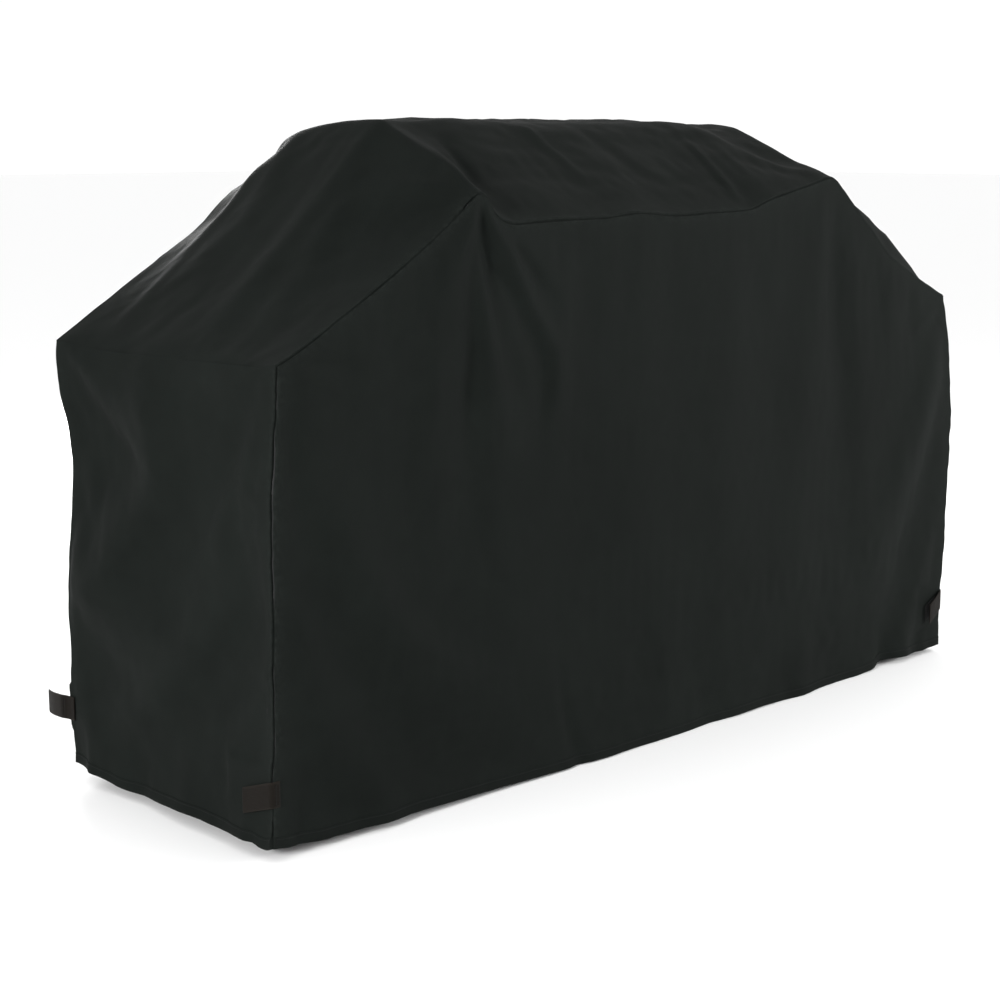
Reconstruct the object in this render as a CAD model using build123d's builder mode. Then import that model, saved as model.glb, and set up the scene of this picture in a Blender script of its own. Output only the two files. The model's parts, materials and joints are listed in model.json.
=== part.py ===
from build123d import *
import math
import os

# Fitted cloth cover for a three-burner grill cart, in millimetres.
# +X is the cover's right, -Y its front, +Z up. The hem stands on Z = 0.
# Five wrap panels (end, slope, crown, slope, end) are sewn between a front
# panel and a back panel; four corner tabs close with hook and loop patches.

os.makedirs("parts", exist_ok=True)

# ---- driving dimensions ------------------------------------------------
wall = 2.5              # cloth wall, thick enough to be a sound solid
half_depth = 250.0      # cover centre plane to the front or back outer face
hem_half = 778.0        # half width at the hem
shoulder_half = 757.0   # half width at the shoulders
plumb_h = 150.0         # the end panels hang straight up to here
shoulder_z = 656.0      # shoulder fold above the hem
crown_half = 402.0      # half width of the crown between its two slopes
crown_z = 965.0         # level top of the crown
crown_front = -40.0     # front edge of the level top, from the centre plane
crown_back = 150.0      # back edge of the level top
seam_back_z = 868.0     # top seam of the back panel
seam_front = [(-402.0, 865.0), (-332.0, 823.0), (182.0, 826.0), (402.0, 870.0)]

hem_h = 15.0            # turned and stitched hem
hem_t = 4.0
hem_proud = 0.75

bind_w = 12.0           # bound seam allowance inside the two seams
bind_t = 1.0
bind_gap = 3.6

tab_w = 36.0            # webbing tab width
tab_t = 1.5             # webbing thickness
patch_t = 1.0           # hook patch and loop patch thickness
patch_w = 30.0
closed_gap = 0.3        # between the two patches when a tab is closed
tab_l = 64.0            # free length from the corner
anchor_l = 12.0         # stitched end of the webbing
anchor_gap = 5.0        # bend allowance between the stitched end and the axis
patch_from = 14.0
tab_off = patch_t + closed_gap + patch_t + tab_t / 2

centre_x = 0.0
centre_y = -28.592        # centre plane of the cover in the part's own frame

front_y = centre_y - half_depth
back_y = centre_y + half_depth
in_front = front_y + wall
in_back = back_y - wall


# ---- front and back panels --------------------------------------------
front_outline = [
    (-hem_half, hem_h),
    (-hem_half, plumb_h),
    (-shoulder_half, shoulder_z),
    *seam_front,
    (shoulder_half, shoulder_z),
    (hem_half, plumb_h),
    (hem_half, hem_h),
]
back_outline = [
    (-hem_half, hem_h),
    (-hem_half, plumb_h),
    (-shoulder_half, shoulder_z),
    (-crown_half, seam_back_z),
    (crown_half, seam_back_z),
    (shoulder_half, shoulder_z),
    (hem_half, plumb_h),
    (hem_half, hem_h),
]

front_plane = Plane((centre_x, front_y, 0), x_dir=(1, 0, 0), z_dir=(0, -1, 0))
back_plane = Plane((centre_x, in_back, 0), x_dir=(1, 0, 0), z_dir=(0, -1, 0))

with BuildPart() as front_panel:
    with BuildSketch(front_plane):
        with BuildLine():
            Polyline(*front_outline, close=True)
        make_face()
    extrude(amount=-wall)
front_panel.part.label = "front_panel"
export_step(front_panel.part, "parts/front_panel.step")

with BuildPart() as back_panel:
    with BuildSketch(back_plane):
        with BuildLine():
            Polyline(*back_outline, close=True)
        make_face()
    extrude(amount=-wall)
back_panel.part.label = "back_panel"
export_step(back_panel.part, "parts/back_panel.step")


# ---- wrap panels --------------------------------------------------------
# End panels: one bent strip each, with a short upright face at the shoulder
# where the slope panel is stitched on.
slope_rise = (seam_back_z - shoulder_z) / (shoulder_half - crown_half)
lip_z = shoulder_z + wall * slope_rise


def end_profile(side):
    return [
        (side * hem_half, hem_h),
        (side * hem_half, plumb_h),
        (side * shoulder_half, shoulder_z),
        (side * (shoulder_half - wall), lip_z),
        (side * (shoulder_half - wall), lip_z - wall),
        (side * (hem_half - wall), plumb_h),
        (side * (hem_half - wall), hem_h),
    ]


end_plane = Plane((centre_x, in_front, 0), x_dir=(1, 0, 0), z_dir=(0, -1, 0))

with BuildPart() as left_end_panel:
    with BuildSketch(end_plane):
        with BuildLine():
            Polyline(*end_profile(-1), close=True)
        make_face()
    extrude(amount=-(in_back - in_front))
left_end_panel.part.label = "left_end_panel"
export_step(left_end_panel.part, "parts/left_end_panel.step")

with BuildPart() as right_end_panel:
    with BuildSketch(end_plane):
        with BuildLine():
            Polyline(*end_profile(1), close=True)
        make_face()
    extrude(amount=-(in_back - in_front))
right_end_panel.part.label = "right_end_panel"
export_step(right_end_panel.part, "parts/right_end_panel.step")


# Each wrap section is a thin band across the depth of the cover, drawn in a
# plane of constant X, so neighbouring panels meet face to face.
def band(z_front, z_ridge_front, z_ridge_back, z_back):
    y = (in_front, centre_y + crown_front, centre_y + crown_back, in_back)
    z = (z_front, z_ridge_front, z_ridge_back, z_back)
    top = list(zip(y, z))
    return top + [(a, b - wall) for a, b in reversed(top)]


shoulder_band = band(lip_z, lip_z, lip_z, lip_z)
crown_bands = [
    (x, band(z, crown_z, crown_z, seam_back_z)) for x, z in seam_front
]

def strip(section, i):
    """The i-th straight stretch of a wrap section, as a four-cornered outline."""
    return [section[i], section[i + 1], section[6 - i], section[7 - i]]


with BuildPart() as left_slope_panel:
    for i in range(3):
        with BuildSketch(Plane.YZ.offset(centre_x - shoulder_half + wall)):
            with BuildLine():
                Polyline(*strip(shoulder_band, i), close=True)
            make_face()
        with BuildSketch(Plane.YZ.offset(centre_x + crown_bands[0][0])):
            with BuildLine():
                Polyline(*strip(crown_bands[0][1], i), close=True)
            make_face()
        loft(ruled=True)
left_slope_panel.part.label = "left_slope_panel"
export_step(left_slope_panel.part, "parts/left_slope_panel.step")

with BuildPart() as top_panel:
    for x, section in crown_bands:
        with BuildSketch(Plane.YZ.offset(centre_x + x)):
            with BuildLine():
                Polyline(*section, close=True)
            make_face()
    loft(ruled=True)
top_panel.part.label = "top_panel"
export_step(top_panel.part, "parts/top_panel.step")

with BuildPart() as right_slope_panel:
    for i in range(3):
        with BuildSketch(Plane.YZ.offset(centre_x + crown_bands[-1][0])):
            with BuildLine():
                Polyline(*strip(crown_bands[-1][1], i), close=True)
            make_face()
        with BuildSketch(Plane.YZ.offset(centre_x + shoulder_half - wall)):
            with BuildLine():
                Polyline(*strip(shoulder_band, i), close=True)
            make_face()
        loft(ruled=True)
right_slope_panel.part.label = "right_slope_panel"
export_step(right_slope_panel.part, "parts/right_slope_panel.step")


# ---- hems ---------------------------------------------------------------
# Cloth turned twice and stitched: a thicker band along each lower edge.
hem_out_x = hem_half + hem_proud
hem_out_y = half_depth + hem_proud

with BuildPart() as front_hem:
    with BuildSketch(Plane.XY):
        with Locations((centre_x, centre_y - hem_out_y + hem_t / 2)):
            Rectangle(2 * hem_out_x, hem_t)
    extrude(amount=hem_h)
front_hem.part.label = "front_hem"
export_step(front_hem.part, "parts/front_hem.step")

with BuildPart() as back_hem:
    with BuildSketch(Plane.XY):
        with Locations((centre_x, centre_y + hem_out_y - hem_t / 2)):
            Rectangle(2 * hem_out_x, hem_t)
    extrude(amount=hem_h)
back_hem.part.label = "back_hem"
export_step(back_hem.part, "parts/back_hem.step")

side_hem_l = 2 * (hem_out_y - hem_t)

with BuildPart() as left_hem:
    with BuildSketch(Plane.XY):
        with Locations((centre_x - hem_out_x + hem_t / 2, centre_y)):
            Rectangle(hem_t, side_hem_l)
    extrude(amount=hem_h)
left_hem.part.label = "left_hem"
export_step(left_hem.part, "parts/left_hem.step")

with BuildPart() as right_hem:
    with BuildSketch(Plane.XY):
        with Locations((centre_x + hem_out_x - hem_t / 2, centre_y)):
            Rectangle(hem_t, side_hem_l)
    extrude(amount=hem_h)
right_hem.part.label = "right_hem"
export_step(right_hem.part, "parts/right_hem.step")


# ---- bound seam allowances ---------------------------------------------
# A narrow tape lying flat on the inner face of the front and back panels,
# all along the seam, from hem to hem over the crown.
def inward(outline, d):
    """Outline moved in by d: sides by d in X, the roof down by 1.6 d in Z."""
    moved = []
    for x, z in outline[1:-1]:
        roof = z >= shoulder_z - 1
        moved.append((x - math.copysign(d, x), z - 1.6 * d if roof else z))
    low = hem_h + 1.0
    first = (moved[0][0], low)
    last = (moved[-1][0], low)
    return [first, *moved, last]


def tape(outline):
    outer = inward(outline, bind_gap)
    inner = inward(outline, bind_gap + bind_w)
    return outer + list(reversed(inner))


with BuildPart() as front_seam_binding:
    with BuildSketch(Plane((centre_x, in_front, 0), x_dir=(1, 0, 0), z_dir=(0, -1, 0))):
        with BuildLine():
            Polyline(*tape(front_outline), close=True)
        make_face()
    extrude(amount=-bind_t)
front_seam_binding.part.label = "front_seam_binding"
export_step(front_seam_binding.part, "parts/front_seam_binding.step")

with BuildPart() as back_seam_binding:
    with BuildSketch(Plane((centre_x, in_back, 0), x_dir=(1, 0, 0), z_dir=(0, -1, 0))):
        with BuildLine():
            Polyline(*tape(back_outline), close=True)
        make_face()
    extrude(amount=bind_t)
back_seam_binding.part.label = "back_seam_binding"
export_step(back_seam_binding.part, "parts/back_seam_binding.step")


# ---- corner tabs --------------------------------------------------------
# Each tab is stitched to one panel beside a corner, turns round the corner
# and closes on the next panel. Frame of a tab: origin on its bend line,
# x along the webbing, y away from the panel it closes on, z up.
corners = {
    # name: corner x, y, closing direction, outward normal, low z, open angle,
    #       free length, droop at the tip
    "front_left": (-hem_half, -half_depth, (0, 1), (-1, 0), 77.0, 0.0, tab_l, 22.0),
    "back_left": (-hem_half, half_depth, (1, 0), (0, 1), 93.0, 73.0, tab_l, 8.0),
    "back_right": (hem_half, half_depth, (0, -1), (1, 0), 80.0, 0.0, tab_l, 0.0),
    "front_right": (hem_half, -half_depth, (-1, 0), (0, -1), 82.0, 4.0, 50.0, 24.0),
}


def bend_line(name):
    cx, cy, d, n, low, angle, free, droop = corners[name]
    x = centre_x + cx + n[0] * tab_off - d[0] * tab_t / 2
    y = centre_y + cy + n[1] * tab_off - d[1] * tab_t / 2
    return x, y


def closed_frame(name):
    x, y = bend_line(name)
    d = corners[name][2]
    return Plane((x, y, 0), x_dir=(d[0], d[1], 0), z_dir=(0, 0, 1))


def rest_frame(name):
    # the tab swings away from its panel about +Z
    x, y = bend_line(name)
    d = corners[name][2]
    a = math.radians(corners[name][5])
    c, s = math.cos(a), math.sin(a)
    return Plane(
        (x, y, 0),
        x_dir=(d[0] * c - d[1] * s, d[0] * s + d[1] * c, 0),
        z_dir=(0, 0, 1),
    )


def side_view(plane):
    # the tab's own x against its height, looking from the panel side
    return Plane(plane.origin, x_dir=plane.x_dir, z_dir=-plane.y_dir)


def stitched_end(name):
    """Stitched end of the webbing, flat on the panel beside the corner."""
    low = corners[name][4]
    with BuildPart() as made:
        with BuildSketch(closed_frame(name).offset(low)):
            with Locations((0, -anchor_gap - anchor_l / 2)):
                Rectangle(tab_t, anchor_l)
        extrude(amount=tab_w)
    return made


def webbing(name):
    """Free webbing: straight, with a round bend at the root, drooping a little."""
    low, free, droop = corners[name][4], corners[name][6], corners[name][7]
    side = side_view(rest_frame(name)).offset(-tab_t / 2)
    with BuildPart() as made:
        with BuildSketch(side):
            with BuildLine():
                Polyline(
                    (0, low),
                    (free, low - droop),
                    (free, low - droop + tab_w),
                    (0, low + tab_w),
                    close=True,
                )
            make_face()
        extrude(amount=tab_t)
        with BuildSketch(rest_frame(name).offset(low)):
            Circle(tab_t / 2)
        extrude(amount=tab_w)
    return made


def patch_outline(name, tilt):
    low, free, droop = corners[name][4], corners[name][6], corners[name][7]
    edge = (tab_w - patch_w) / 2
    a, b = patch_from, free - 4.0
    fall = (droop / free) if tilt else 0.0
    return [
        (a, low + edge - fall * a),
        (b, low + edge - fall * b),
        (b, low + edge - fall * b + patch_w),
        (a, low + edge - fall * a + patch_w),
    ]


def hook_patch(name):
    with BuildPart() as made:
        with BuildSketch(side_view(rest_frame(name)).offset(tab_t / 2)):
            with BuildLine():
                Polyline(*patch_outline(name, True), close=True)
            make_face()
        extrude(amount=patch_t)
    return made


def loop_patch(name):
    with BuildPart() as made:
        with BuildSketch(side_view(closed_frame(name)).offset(tab_off - patch_t)):
            with BuildLine():
                Polyline(*patch_outline(name, False), close=True)
            make_face()
        extrude(amount=patch_t)
    return made


for name in corners:
    anchor = stitched_end(name)
    anchor.part.label = name + "_tab_anchor"
    export_step(anchor.part, "parts/" + name + "_tab_anchor.step")

    tab = webbing(name)
    tab.part.label = name + "_tab"
    export_step(tab.part, "parts/" + name + "_tab.step")

    hook = hook_patch(name)
    hook.part.label = name + "_hook_patch"
    export_step(hook.part, "parts/" + name + "_hook_patch.step")

    loop = loop_patch(name)
    loop.part.label = name + "_loop_patch"
    export_step(loop.part, "parts/" + name + "_loop_patch.step")

    print(name, "bend line", [round(v, 3) for v in bend_line(name)])
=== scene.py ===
import math

import bpy
import bmesh
import json
import numpy as np
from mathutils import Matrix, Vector


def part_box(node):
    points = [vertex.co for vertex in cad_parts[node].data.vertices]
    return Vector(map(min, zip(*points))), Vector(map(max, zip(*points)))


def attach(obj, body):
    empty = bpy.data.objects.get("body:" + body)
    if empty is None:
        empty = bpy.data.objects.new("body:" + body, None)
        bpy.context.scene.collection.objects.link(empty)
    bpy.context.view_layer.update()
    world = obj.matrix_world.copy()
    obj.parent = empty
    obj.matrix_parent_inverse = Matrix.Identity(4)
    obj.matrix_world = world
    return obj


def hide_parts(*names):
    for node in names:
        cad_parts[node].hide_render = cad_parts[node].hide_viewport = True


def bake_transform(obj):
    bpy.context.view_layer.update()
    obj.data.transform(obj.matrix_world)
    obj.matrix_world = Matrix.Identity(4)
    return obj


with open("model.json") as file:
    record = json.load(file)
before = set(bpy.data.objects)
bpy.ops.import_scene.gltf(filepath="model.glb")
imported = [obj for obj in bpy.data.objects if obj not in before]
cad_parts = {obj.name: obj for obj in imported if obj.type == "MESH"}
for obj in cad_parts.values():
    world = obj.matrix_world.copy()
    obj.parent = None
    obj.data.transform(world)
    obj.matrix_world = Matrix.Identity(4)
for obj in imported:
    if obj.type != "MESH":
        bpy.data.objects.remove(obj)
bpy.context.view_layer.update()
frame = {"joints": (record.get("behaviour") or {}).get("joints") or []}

MM = 0.001

# ---------------------------------------------------------------------------
# where the cover stands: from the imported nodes, in millimetres
# ---------------------------------------------------------------------------
f_lo, f_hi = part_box("front_panel")
b_lo, b_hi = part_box("back_panel")
FY = f_lo[1] / MM            # outer face of the front panel
BY = b_hi[1] / MM            # outer face of the back panel
CY = 0.5 * (FY + BY)         # centre plane of the cover
HALF = 0.5 * (BY - FY)
S_HALF = 757.0               # half width at the shoulder fold
S_Z = 656.0                  # height of the shoulder fold
C_HALF = 402.0               # half width of the crown


# ---------------------------------------------------------------------------
# curves
# ---------------------------------------------------------------------------
def pchip(x, pts):
    """Monotone cubic through pts [(x, y), ...], flat outside."""
    pts = sorted(pts)
    xp = np.array([p[0] for p in pts], float)
    yp = np.array([p[1] for p in pts], float)
    h = np.diff(xp)
    d = np.diff(yp) / h
    m = np.zeros_like(yp)
    m[0], m[-1] = d[0], d[-1]
    for k in range(1, len(xp) - 1):
        if d[k - 1] * d[k] > 0:
            w1, w2 = 2 * h[k] + h[k - 1], h[k] + 2 * h[k - 1]
            m[k] = (w1 + w2) / (w1 / d[k - 1] + w2 / d[k])
    x = np.clip(np.asarray(x, float), xp[0], xp[-1])
    i = np.clip(np.searchsorted(xp, x, side="right") - 1, 0, len(h) - 1)
    t = (x - xp[i]) / h[i]
    a = (1 + 2 * t) * (1 - t) ** 2
    b = t * (1 - t) ** 2
    c = t * t * (3 - 2 * t)
    e = t * t * (t - 1)
    return a * yp[i] + b * h[i] * m[i] + c * yp[i + 1] + e * h[i] * m[i + 1]


def smooth(t):
    t = np.clip(t, 0.0, 1.0)
    return t * t * (3 - 2 * t)


def hashed(ix, iy, seed):
    """Repeatable value from 0 to 1 for each lattice point."""
    n = (ix * 374761393 + iy * 668265263 + seed * 982451653) & 0xFFFFFFFF
    n = (n ^ (n >> 13)) * 1274126177 & 0xFFFFFFFF
    return ((n ^ (n >> 16)) & 0xFFFF) / 65535.0


def noise(u, v, seed):
    """Smooth value noise from -1 to 1 over the plane."""
    iu, iv = np.floor(u).astype(np.int64), np.floor(v).astype(np.int64)
    fu, fv = u - iu, v - iv
    fu, fv = fu * fu * (3 - 2 * fu), fv * fv * (3 - 2 * fv)
    a, b = hashed(iu, iv, seed), hashed(iu + 1, iv, seed)
    c, d = hashed(iu, iv + 1, seed), hashed(iu + 1, iv + 1, seed)
    return 2 * ((a * (1 - fu) + b * fu) * (1 - fv) + (c * (1 - fu) + d * fu) * fv) - 1


def fold(p, q, path, sharp=1.0, side=0.0):
    """Height of one fold over the points (p, q). path is [(p, q, half width, height), ...].
    side from -1 to 1 makes one flank steeper than the other. Ends fade out by their own heights."""
    best = np.full(p.shape, 1e9)
    out = np.zeros(p.shape)
    for (p0, q0, w0, h0), (p1, q1, w1, h1) in zip(path[:-1], path[1:]):
        dp, dq = p1 - p0, q1 - q0
        ll = dp * dp + dq * dq
        t = ((p - p0) * dp + (q - q0) * dq) / ll
        tc = np.clip(t, 0, 1)
        ax, ay = p - (p0 + tc * dp), q - (q0 + tc * dq)
        dist = np.sqrt(ax * ax + ay * ay)
        sgn = np.sign(ax * dq - ay * dp)
        w = (w0 + (w1 - w0) * tc) * (1 + side * sgn * 0.6)
        h = h0 + (h1 - h0) * tc
        k = np.exp(-((dist / w) ** (2 * sharp)))
        near = dist < best
        out = np.where(near, h * k, out)
        best = np.minimum(best, dist)
    return out


def bump(p, q, cp, cq, rp, rq, h, turn=0.0):
    """A soft round swelling, or a hollow where h is negative."""
    c, s = math.cos(math.radians(turn)), math.sin(math.radians(turn))
    a = ((p - cp) * c + (q - cq) * s) / rp
    b = (-(p - cp) * s + (q - cq) * c) / rq
    return h * np.exp(-(a * a + b * b))


# ---------------------------------------------------------------------------
# the cover's own lines (x, y, z in mm; z = 0 is the lowest point of the hem)
# ---------------------------------------------------------------------------
FRONT_SEAM = [
    (-757, 656), (-719, 673), (-652, 709), (-583, 747), (-528, 779), (-475, 812),
    (-440, 837), (-420, 853), (-408, 861), (-398, 864), (-389, 860), (-379, 847),
    (-368, 834), (-350, 824), (-326, 820), (-282, 822), (-210, 823), (-153, 823),
    (-72, 828), (22, 822), (91, 824), (184, 826), (253, 843), (363, 865),
    (400, 872.5), (410, 872.5), (441, 854), (477, 825), (530, 784), (587, 739),
    (655, 704), (728, 672), (757, 661),
]
BACK_SEAM = [
    (-757, 652), (-689, 697), (-599, 751), (-511, 804), (-440, 858), (-402, 872),
    (-330, 862), (-150, 858), (60, 861), (240, 858), (402, 870), (470, 834),
    (600, 742), (700, 684), (757, 655),
]
LEFT_EDGE = [   # z, x of the front left corner seam
    (0, -782), (18, -781), (60, -779), (89, -778.5), (143, -776), (223, -773), (329, -772),
    (408, -772), (460, -771), (511, -767), (588, -762), (656, -757),
]
RIGHT_EDGE = [  # z, x of the front right corner seam
    (0, 781), (12, 781), (60, 780.5), (120, 781.5), (160, 785), (210, 788), (284, 788), (358, 791),
    (431, 793), (514, 785), (597, 770), (656, 752),
]
BACK_LEFT_IN = [   # z, how far the back left corner seam is drawn in, along x and y together
    (0, 26), (28, 26), (77, 21), (137, 16), (200, 17), (255, 12), (335, 14), (400, 20), (460, 23),
    (520, 16), (585, -5), (631, -10), (656, -9),
]
FRONT_HEM = [
    (-783, 22), (-760, 19), (-683, 13), (-557, 12), (-460, 9), (-362, 6), (-146, 2), (93, 0.6),
    (230, 2.2), (351, 0.8), (505, 0.6), (575, 2), (612, 11), (655, 12), (720, 9), (781, 12),
]
LEFT_HEM = [    # y, z
    (FY, 22), (-262, 17), (-250, 17), (-235, 20), (-182, 21), (-92, 23), (14, 18), (76, 16), (153, 24),
    (205, 27), (BY, 27),
]
BACK_HEM = [
    (-783, 27), (-690, 15), (-560, 9), (-380, 10), (-170, 4), (60, 2), (260, 5), (420, 1.5),
    (600, 5), (700, 12), (781, 15),
]
RIGHT_HEM = [(FY, 12), (-200, 6), (-90, 4), (60, 7), (150, 9), (BY, 15)]


def graded(knots):
    """Node positions from [(position, step), ...]: the step holds up to the next knot."""
    out = [knots[0][0]]
    for (a, step), (b, _) in zip(knots[:-1], knots[1:]):
        n = max(1, round((b - a) / step))
        out += [a + (b - a) * (i + 1) / n for i in range(n)]
    return np.array(out)


NEAR = np.array([0, 0.7, 1.5, 2.4, 3.5, 5.0, 7.0, 9.8, 13.5, 18.0, 23.5])   # distances of the first rows from a seam
X_NODES = np.concatenate([
    -757 + NEAR[:-1],
    graded([(-733.5, 7.5), (-448, 4.0), (-320, 7.5), (392, 5.0), (412, 7.5), (733.5, 1)]),
    757 - NEAR[:-1][::-1],
])
T_NODES = np.concatenate([
    [0, 0.0048, 0.0096, 0.0144, 0.0192, 0.025],
    np.linspace(0.033, 0.966, 118),
    1 - NEAR[:-1][::-1] / 800.0,
])
R_NODES = np.concatenate([NEAR[:-1], np.linspace(23.5, 476.5, 62), 500 - NEAR[:-1][::-1]]) / 500.0
NX, NT, NR = len(X_NODES), len(T_NODES), len(R_NODES)


# ---------------------------------------------------------------------------
# front and back sheets: columns across, rows from hem to seam
# ---------------------------------------------------------------------------
def plain_sheet(seam, hem, left, right, y):
    top = pchip(X_NODES, seam)
    low = pchip(X_NODES * 781 / 757, hem)
    z = low[None, :] + (top - low)[None, :] * T_NODES[:, None]
    x = np.repeat(X_NODES[None, :], NT, 0)
    wl = np.clip(-X_NODES / S_HALF, 0, 1)[None, :] ** 1.5
    wr = np.clip(X_NODES / S_HALF, 0, 1)[None, :] ** 1.5
    x = x + wl * (pchip(np.minimum(z, S_Z), left) + S_HALF) + wr * (pchip(np.minimum(z, S_Z), right) - S_HALF)
    return np.stack([x, np.full_like(x, y), z], -1)


def edge_fade(p, width=40.0):
    """0 on the seams and 1 well inside the sheet, from each point's distance to its row or column ends."""
    u = np.abs(X_NODES)
    du = (S_HALF - u)[None, :] + 0 * p[..., 0]
    top = p[-1:, :, 2] - p[..., 2]
    return smooth(np.minimum(du, top) / width)


front = plain_sheet(FRONT_SEAM, FRONT_HEM, LEFT_EDGE, RIGHT_EDGE, FY)
back = plain_sheet(BACK_SEAM, BACK_HEM, [(z, -757 - (781 - 757) * (1 - z / 656.0)) for z in (0, 200, 400, 656)],
                   [(z, 757 + (781 - 757) * (1 - z / 656.0)) for z in (0, 200, 400, 656)], BY)

# Which way each sheet stands out: front sheet towards -Y, back sheet towards +Y.
fx, fz = front[..., 0], front[..., 2]
F = np.zeros_like(fx)
# slack under the raised corner of the crown, where the cloth is gathered to a point
F += fold(fx, fz, [(-396, 850, 7, -3), (-392, 800, 13, -10), (-372, 760, 15, -10), (-323, 706, 17, -9), (-272, 629, 16, -9), (-270, 580, 18, -8), (-283, 520, 22, -3), (-290, 470, 24, 0)], 1.0, 0.35)
F += fold(fx, fz, [(-408, 846, 8, 3), (-432, 800, 16, 8), (-470, 755, 22, 9), (-520, 690, 26, 7), (-581, 619, 30, 4), (-620, 570, 34, 0)])
F += fold(fx, fz, [(-388, 846, 7, 3), (-362, 806, 13, 8), (-330, 752, 17, 8), (-290, 690, 18, 7), (-245, 640, 22, 7), (-236, 570, 26, 4), (-246, 500, 34, 0)])
F += fold(fx, fz, [(-372, 812, 8, 0), (-333, 790, 9, -5), (-295, 752, 11, -6), (-252, 710, 13, -2), (-236, 690, 14, 0)])
F += fold(fx, fz, [(-404, 760, 16, 0), (-410, 710, 18, -4), (-412, 658, 17, -8), (-420, 590, 19, -9), (-425, 534, 24, -5), (-432, 470, 28, 0)])
F += fold(fx, fz, [(-404, 800, 12, 2), (-398, 720, 20, 6), (-376, 640, 26, 8), (-356, 560, 32, 6), (-352, 480, 38, 0)])
F += fold(fx, fz, [(-470, 690, 20, 0), (-486, 620, 22, 5), (-500, 540, 30, 5), (-505, 450, 40, 0)])
# the wide bowl that the loose cloth makes low on the left, and its turned edge
F += fold(fx, fz, [(-690, 460, 60, 0), (-640, 392, 46, 9), (-585, 320, 42, 13), (-527, 258, 40, 14), (-460, 212, 42, 12), (-393, 180, 46, 9), (-280, 150, 55, 4), (-180, 140, 60, 0)], 1.0, 0.3)
F += bump(fx, fz, -470, 370, 170, 120, -8, -35)
F += bump(fx, fz, -640, 180, 110, 120, -5)
# long soft swells of the right half
F += fold(fx, fz, [(404, 850, 20, 0), (415, 760, 26, -6), (428, 680, 34, -8), (452, 570, 40, -7), (471, 484, 46, -4), (480, 380, 60, 0)])
F += fold(fx, fz, [(742, 610, 26, 0), (715, 520, 38, 7), (684, 451, 46, 11), (625, 355, 50, 11), (561, 261, 52, 8), (500, 190, 60, 0)], 1.0, -0.2)
F += bump(fx, fz, 640, 560, 90, 80, -6)
F += bump(fx, fz, 150, 420, 260, 230, 9)
F += bump(fx, fz, -60, 690, 150, 80, -6)
F += bump(fx, fz, 250, 720, 120, 70, -5)
F += fold(fx, fz, [(-246, 210, 16, 0), (-235, 141, 14, -3), (-215, 70, 14, -5), (-192, 5, 18, -6)])
F += fold(fx, fz, [(330, 150, 40, 0), (350, 80, 34, 4), (360, 0, 38, 7)])
F += fold(fx, fz, [(90, 160, 50, 0), (110, 90, 40, -4), (120, 0, 44, -7)])
F += fold(fx, fz, [(-560, 120, 40, 0), (-575, 60, 34, 4), (-580, 0, 36, 7)])
F += fold(fx, fz, [(590, 110, 26, 0), (604, 50, 20, -6), (612, 0, 22, -12)])
F += fold(fx, fz, [(655, 120, 26, 0), (662, 60, 24, 5), (668, 0, 26, 7)])
# short drag lines under the shoulders
F += fold(fx, fz, [(-742, 652, 7, 0), (-700, 655, 8, -3), (-650, 648, 10, -3), (-600, 634, 12, 0)])
F += fold(fx, fz, [(-748, 640, 8, 0), (-712, 634, 9, 3), (-660, 620, 11, 3), (-610, 600, 14, 0)])
F += fold(fx, fz, [(-752, 630, 9, -1), (-735, 560, 12, -4), (-728, 470, 18, -5), (-726, 360, 22, 0)])
F += fold(fx, fz, [(740, 640, 8, 0), (700, 622, 12, 4), (640, 600, 18, 3), (590, 590, 20, 0)])
F += 3.2 * noise(fx / 170.0 + 3.1, fz / 210.0, 7) + 1.5 * noise(fx / 66.0, fz / 90.0 + 5.2, 8)
F += 0.5 * noise(fx / 24.0, fz / 30.0, 21)
F *= edge_fade(front, 34.0)
front[..., 1] -= F

bx, bz = back[..., 0], back[..., 2]
B = np.zeros_like(bx)
B += fold(bx, bz, [(-396, 850, 10, -2), (-380, 760, 20, -8), (-330, 640, 30, -8), (-300, 500, 40, 0)])
B += fold(bx, bz, [(-420, 830, 12, 2), (-470, 740, 26, 9), (-540, 620, 34, 6), (-600, 500, 44, 0)])
B += fold(bx, bz, [(396, 850, 10, -2), (372, 740, 22, -9), (352, 620, 32, -7), (350, 480, 44, 0)])
B += fold(bx, bz, [(420, 830, 12, 2), (476, 730, 28, 9), (560, 600, 36, 6), (640, 470, 46, 0)])
B += fold(bx, bz, [(640, 480, 50, 0), (560, 330, 46, 10), (430, 220, 46, 12), (280, 170, 50, 6), (150, 150, 60, 0)], 1.0, 0.3)
B += fold(bx, bz, [(-690, 500, 36, 0), (-650, 380, 44, 8), (-560, 250, 50, 9), (-470, 160, 60, 0)])
B += bump(bx, bz, -100, 420, 240, 200, 8)
B += bump(bx, bz, 430, 360, 160, 120, -7)
B += fold(bx, bz, [(-120, 150, 40, 0), (-130, 70, 34, -4), (-140, 0, 36, -8)])
B += fold(bx, bz, [(250, 140, 40, 0), (262, 60, 34, 4), (270, 0, 36, 8)])
B += 3.2 * noise(bx / 180.0 + 9.0, bz / 200.0 + 2.0, 17) + 1.5 * noise(bx / 70.0, bz / 95.0, 18)
B += 0.5 * noise(bx / 24.0, bz / 30.0, 22)
B *= edge_fade(back, 34.0)
back[..., 1] += B

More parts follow.
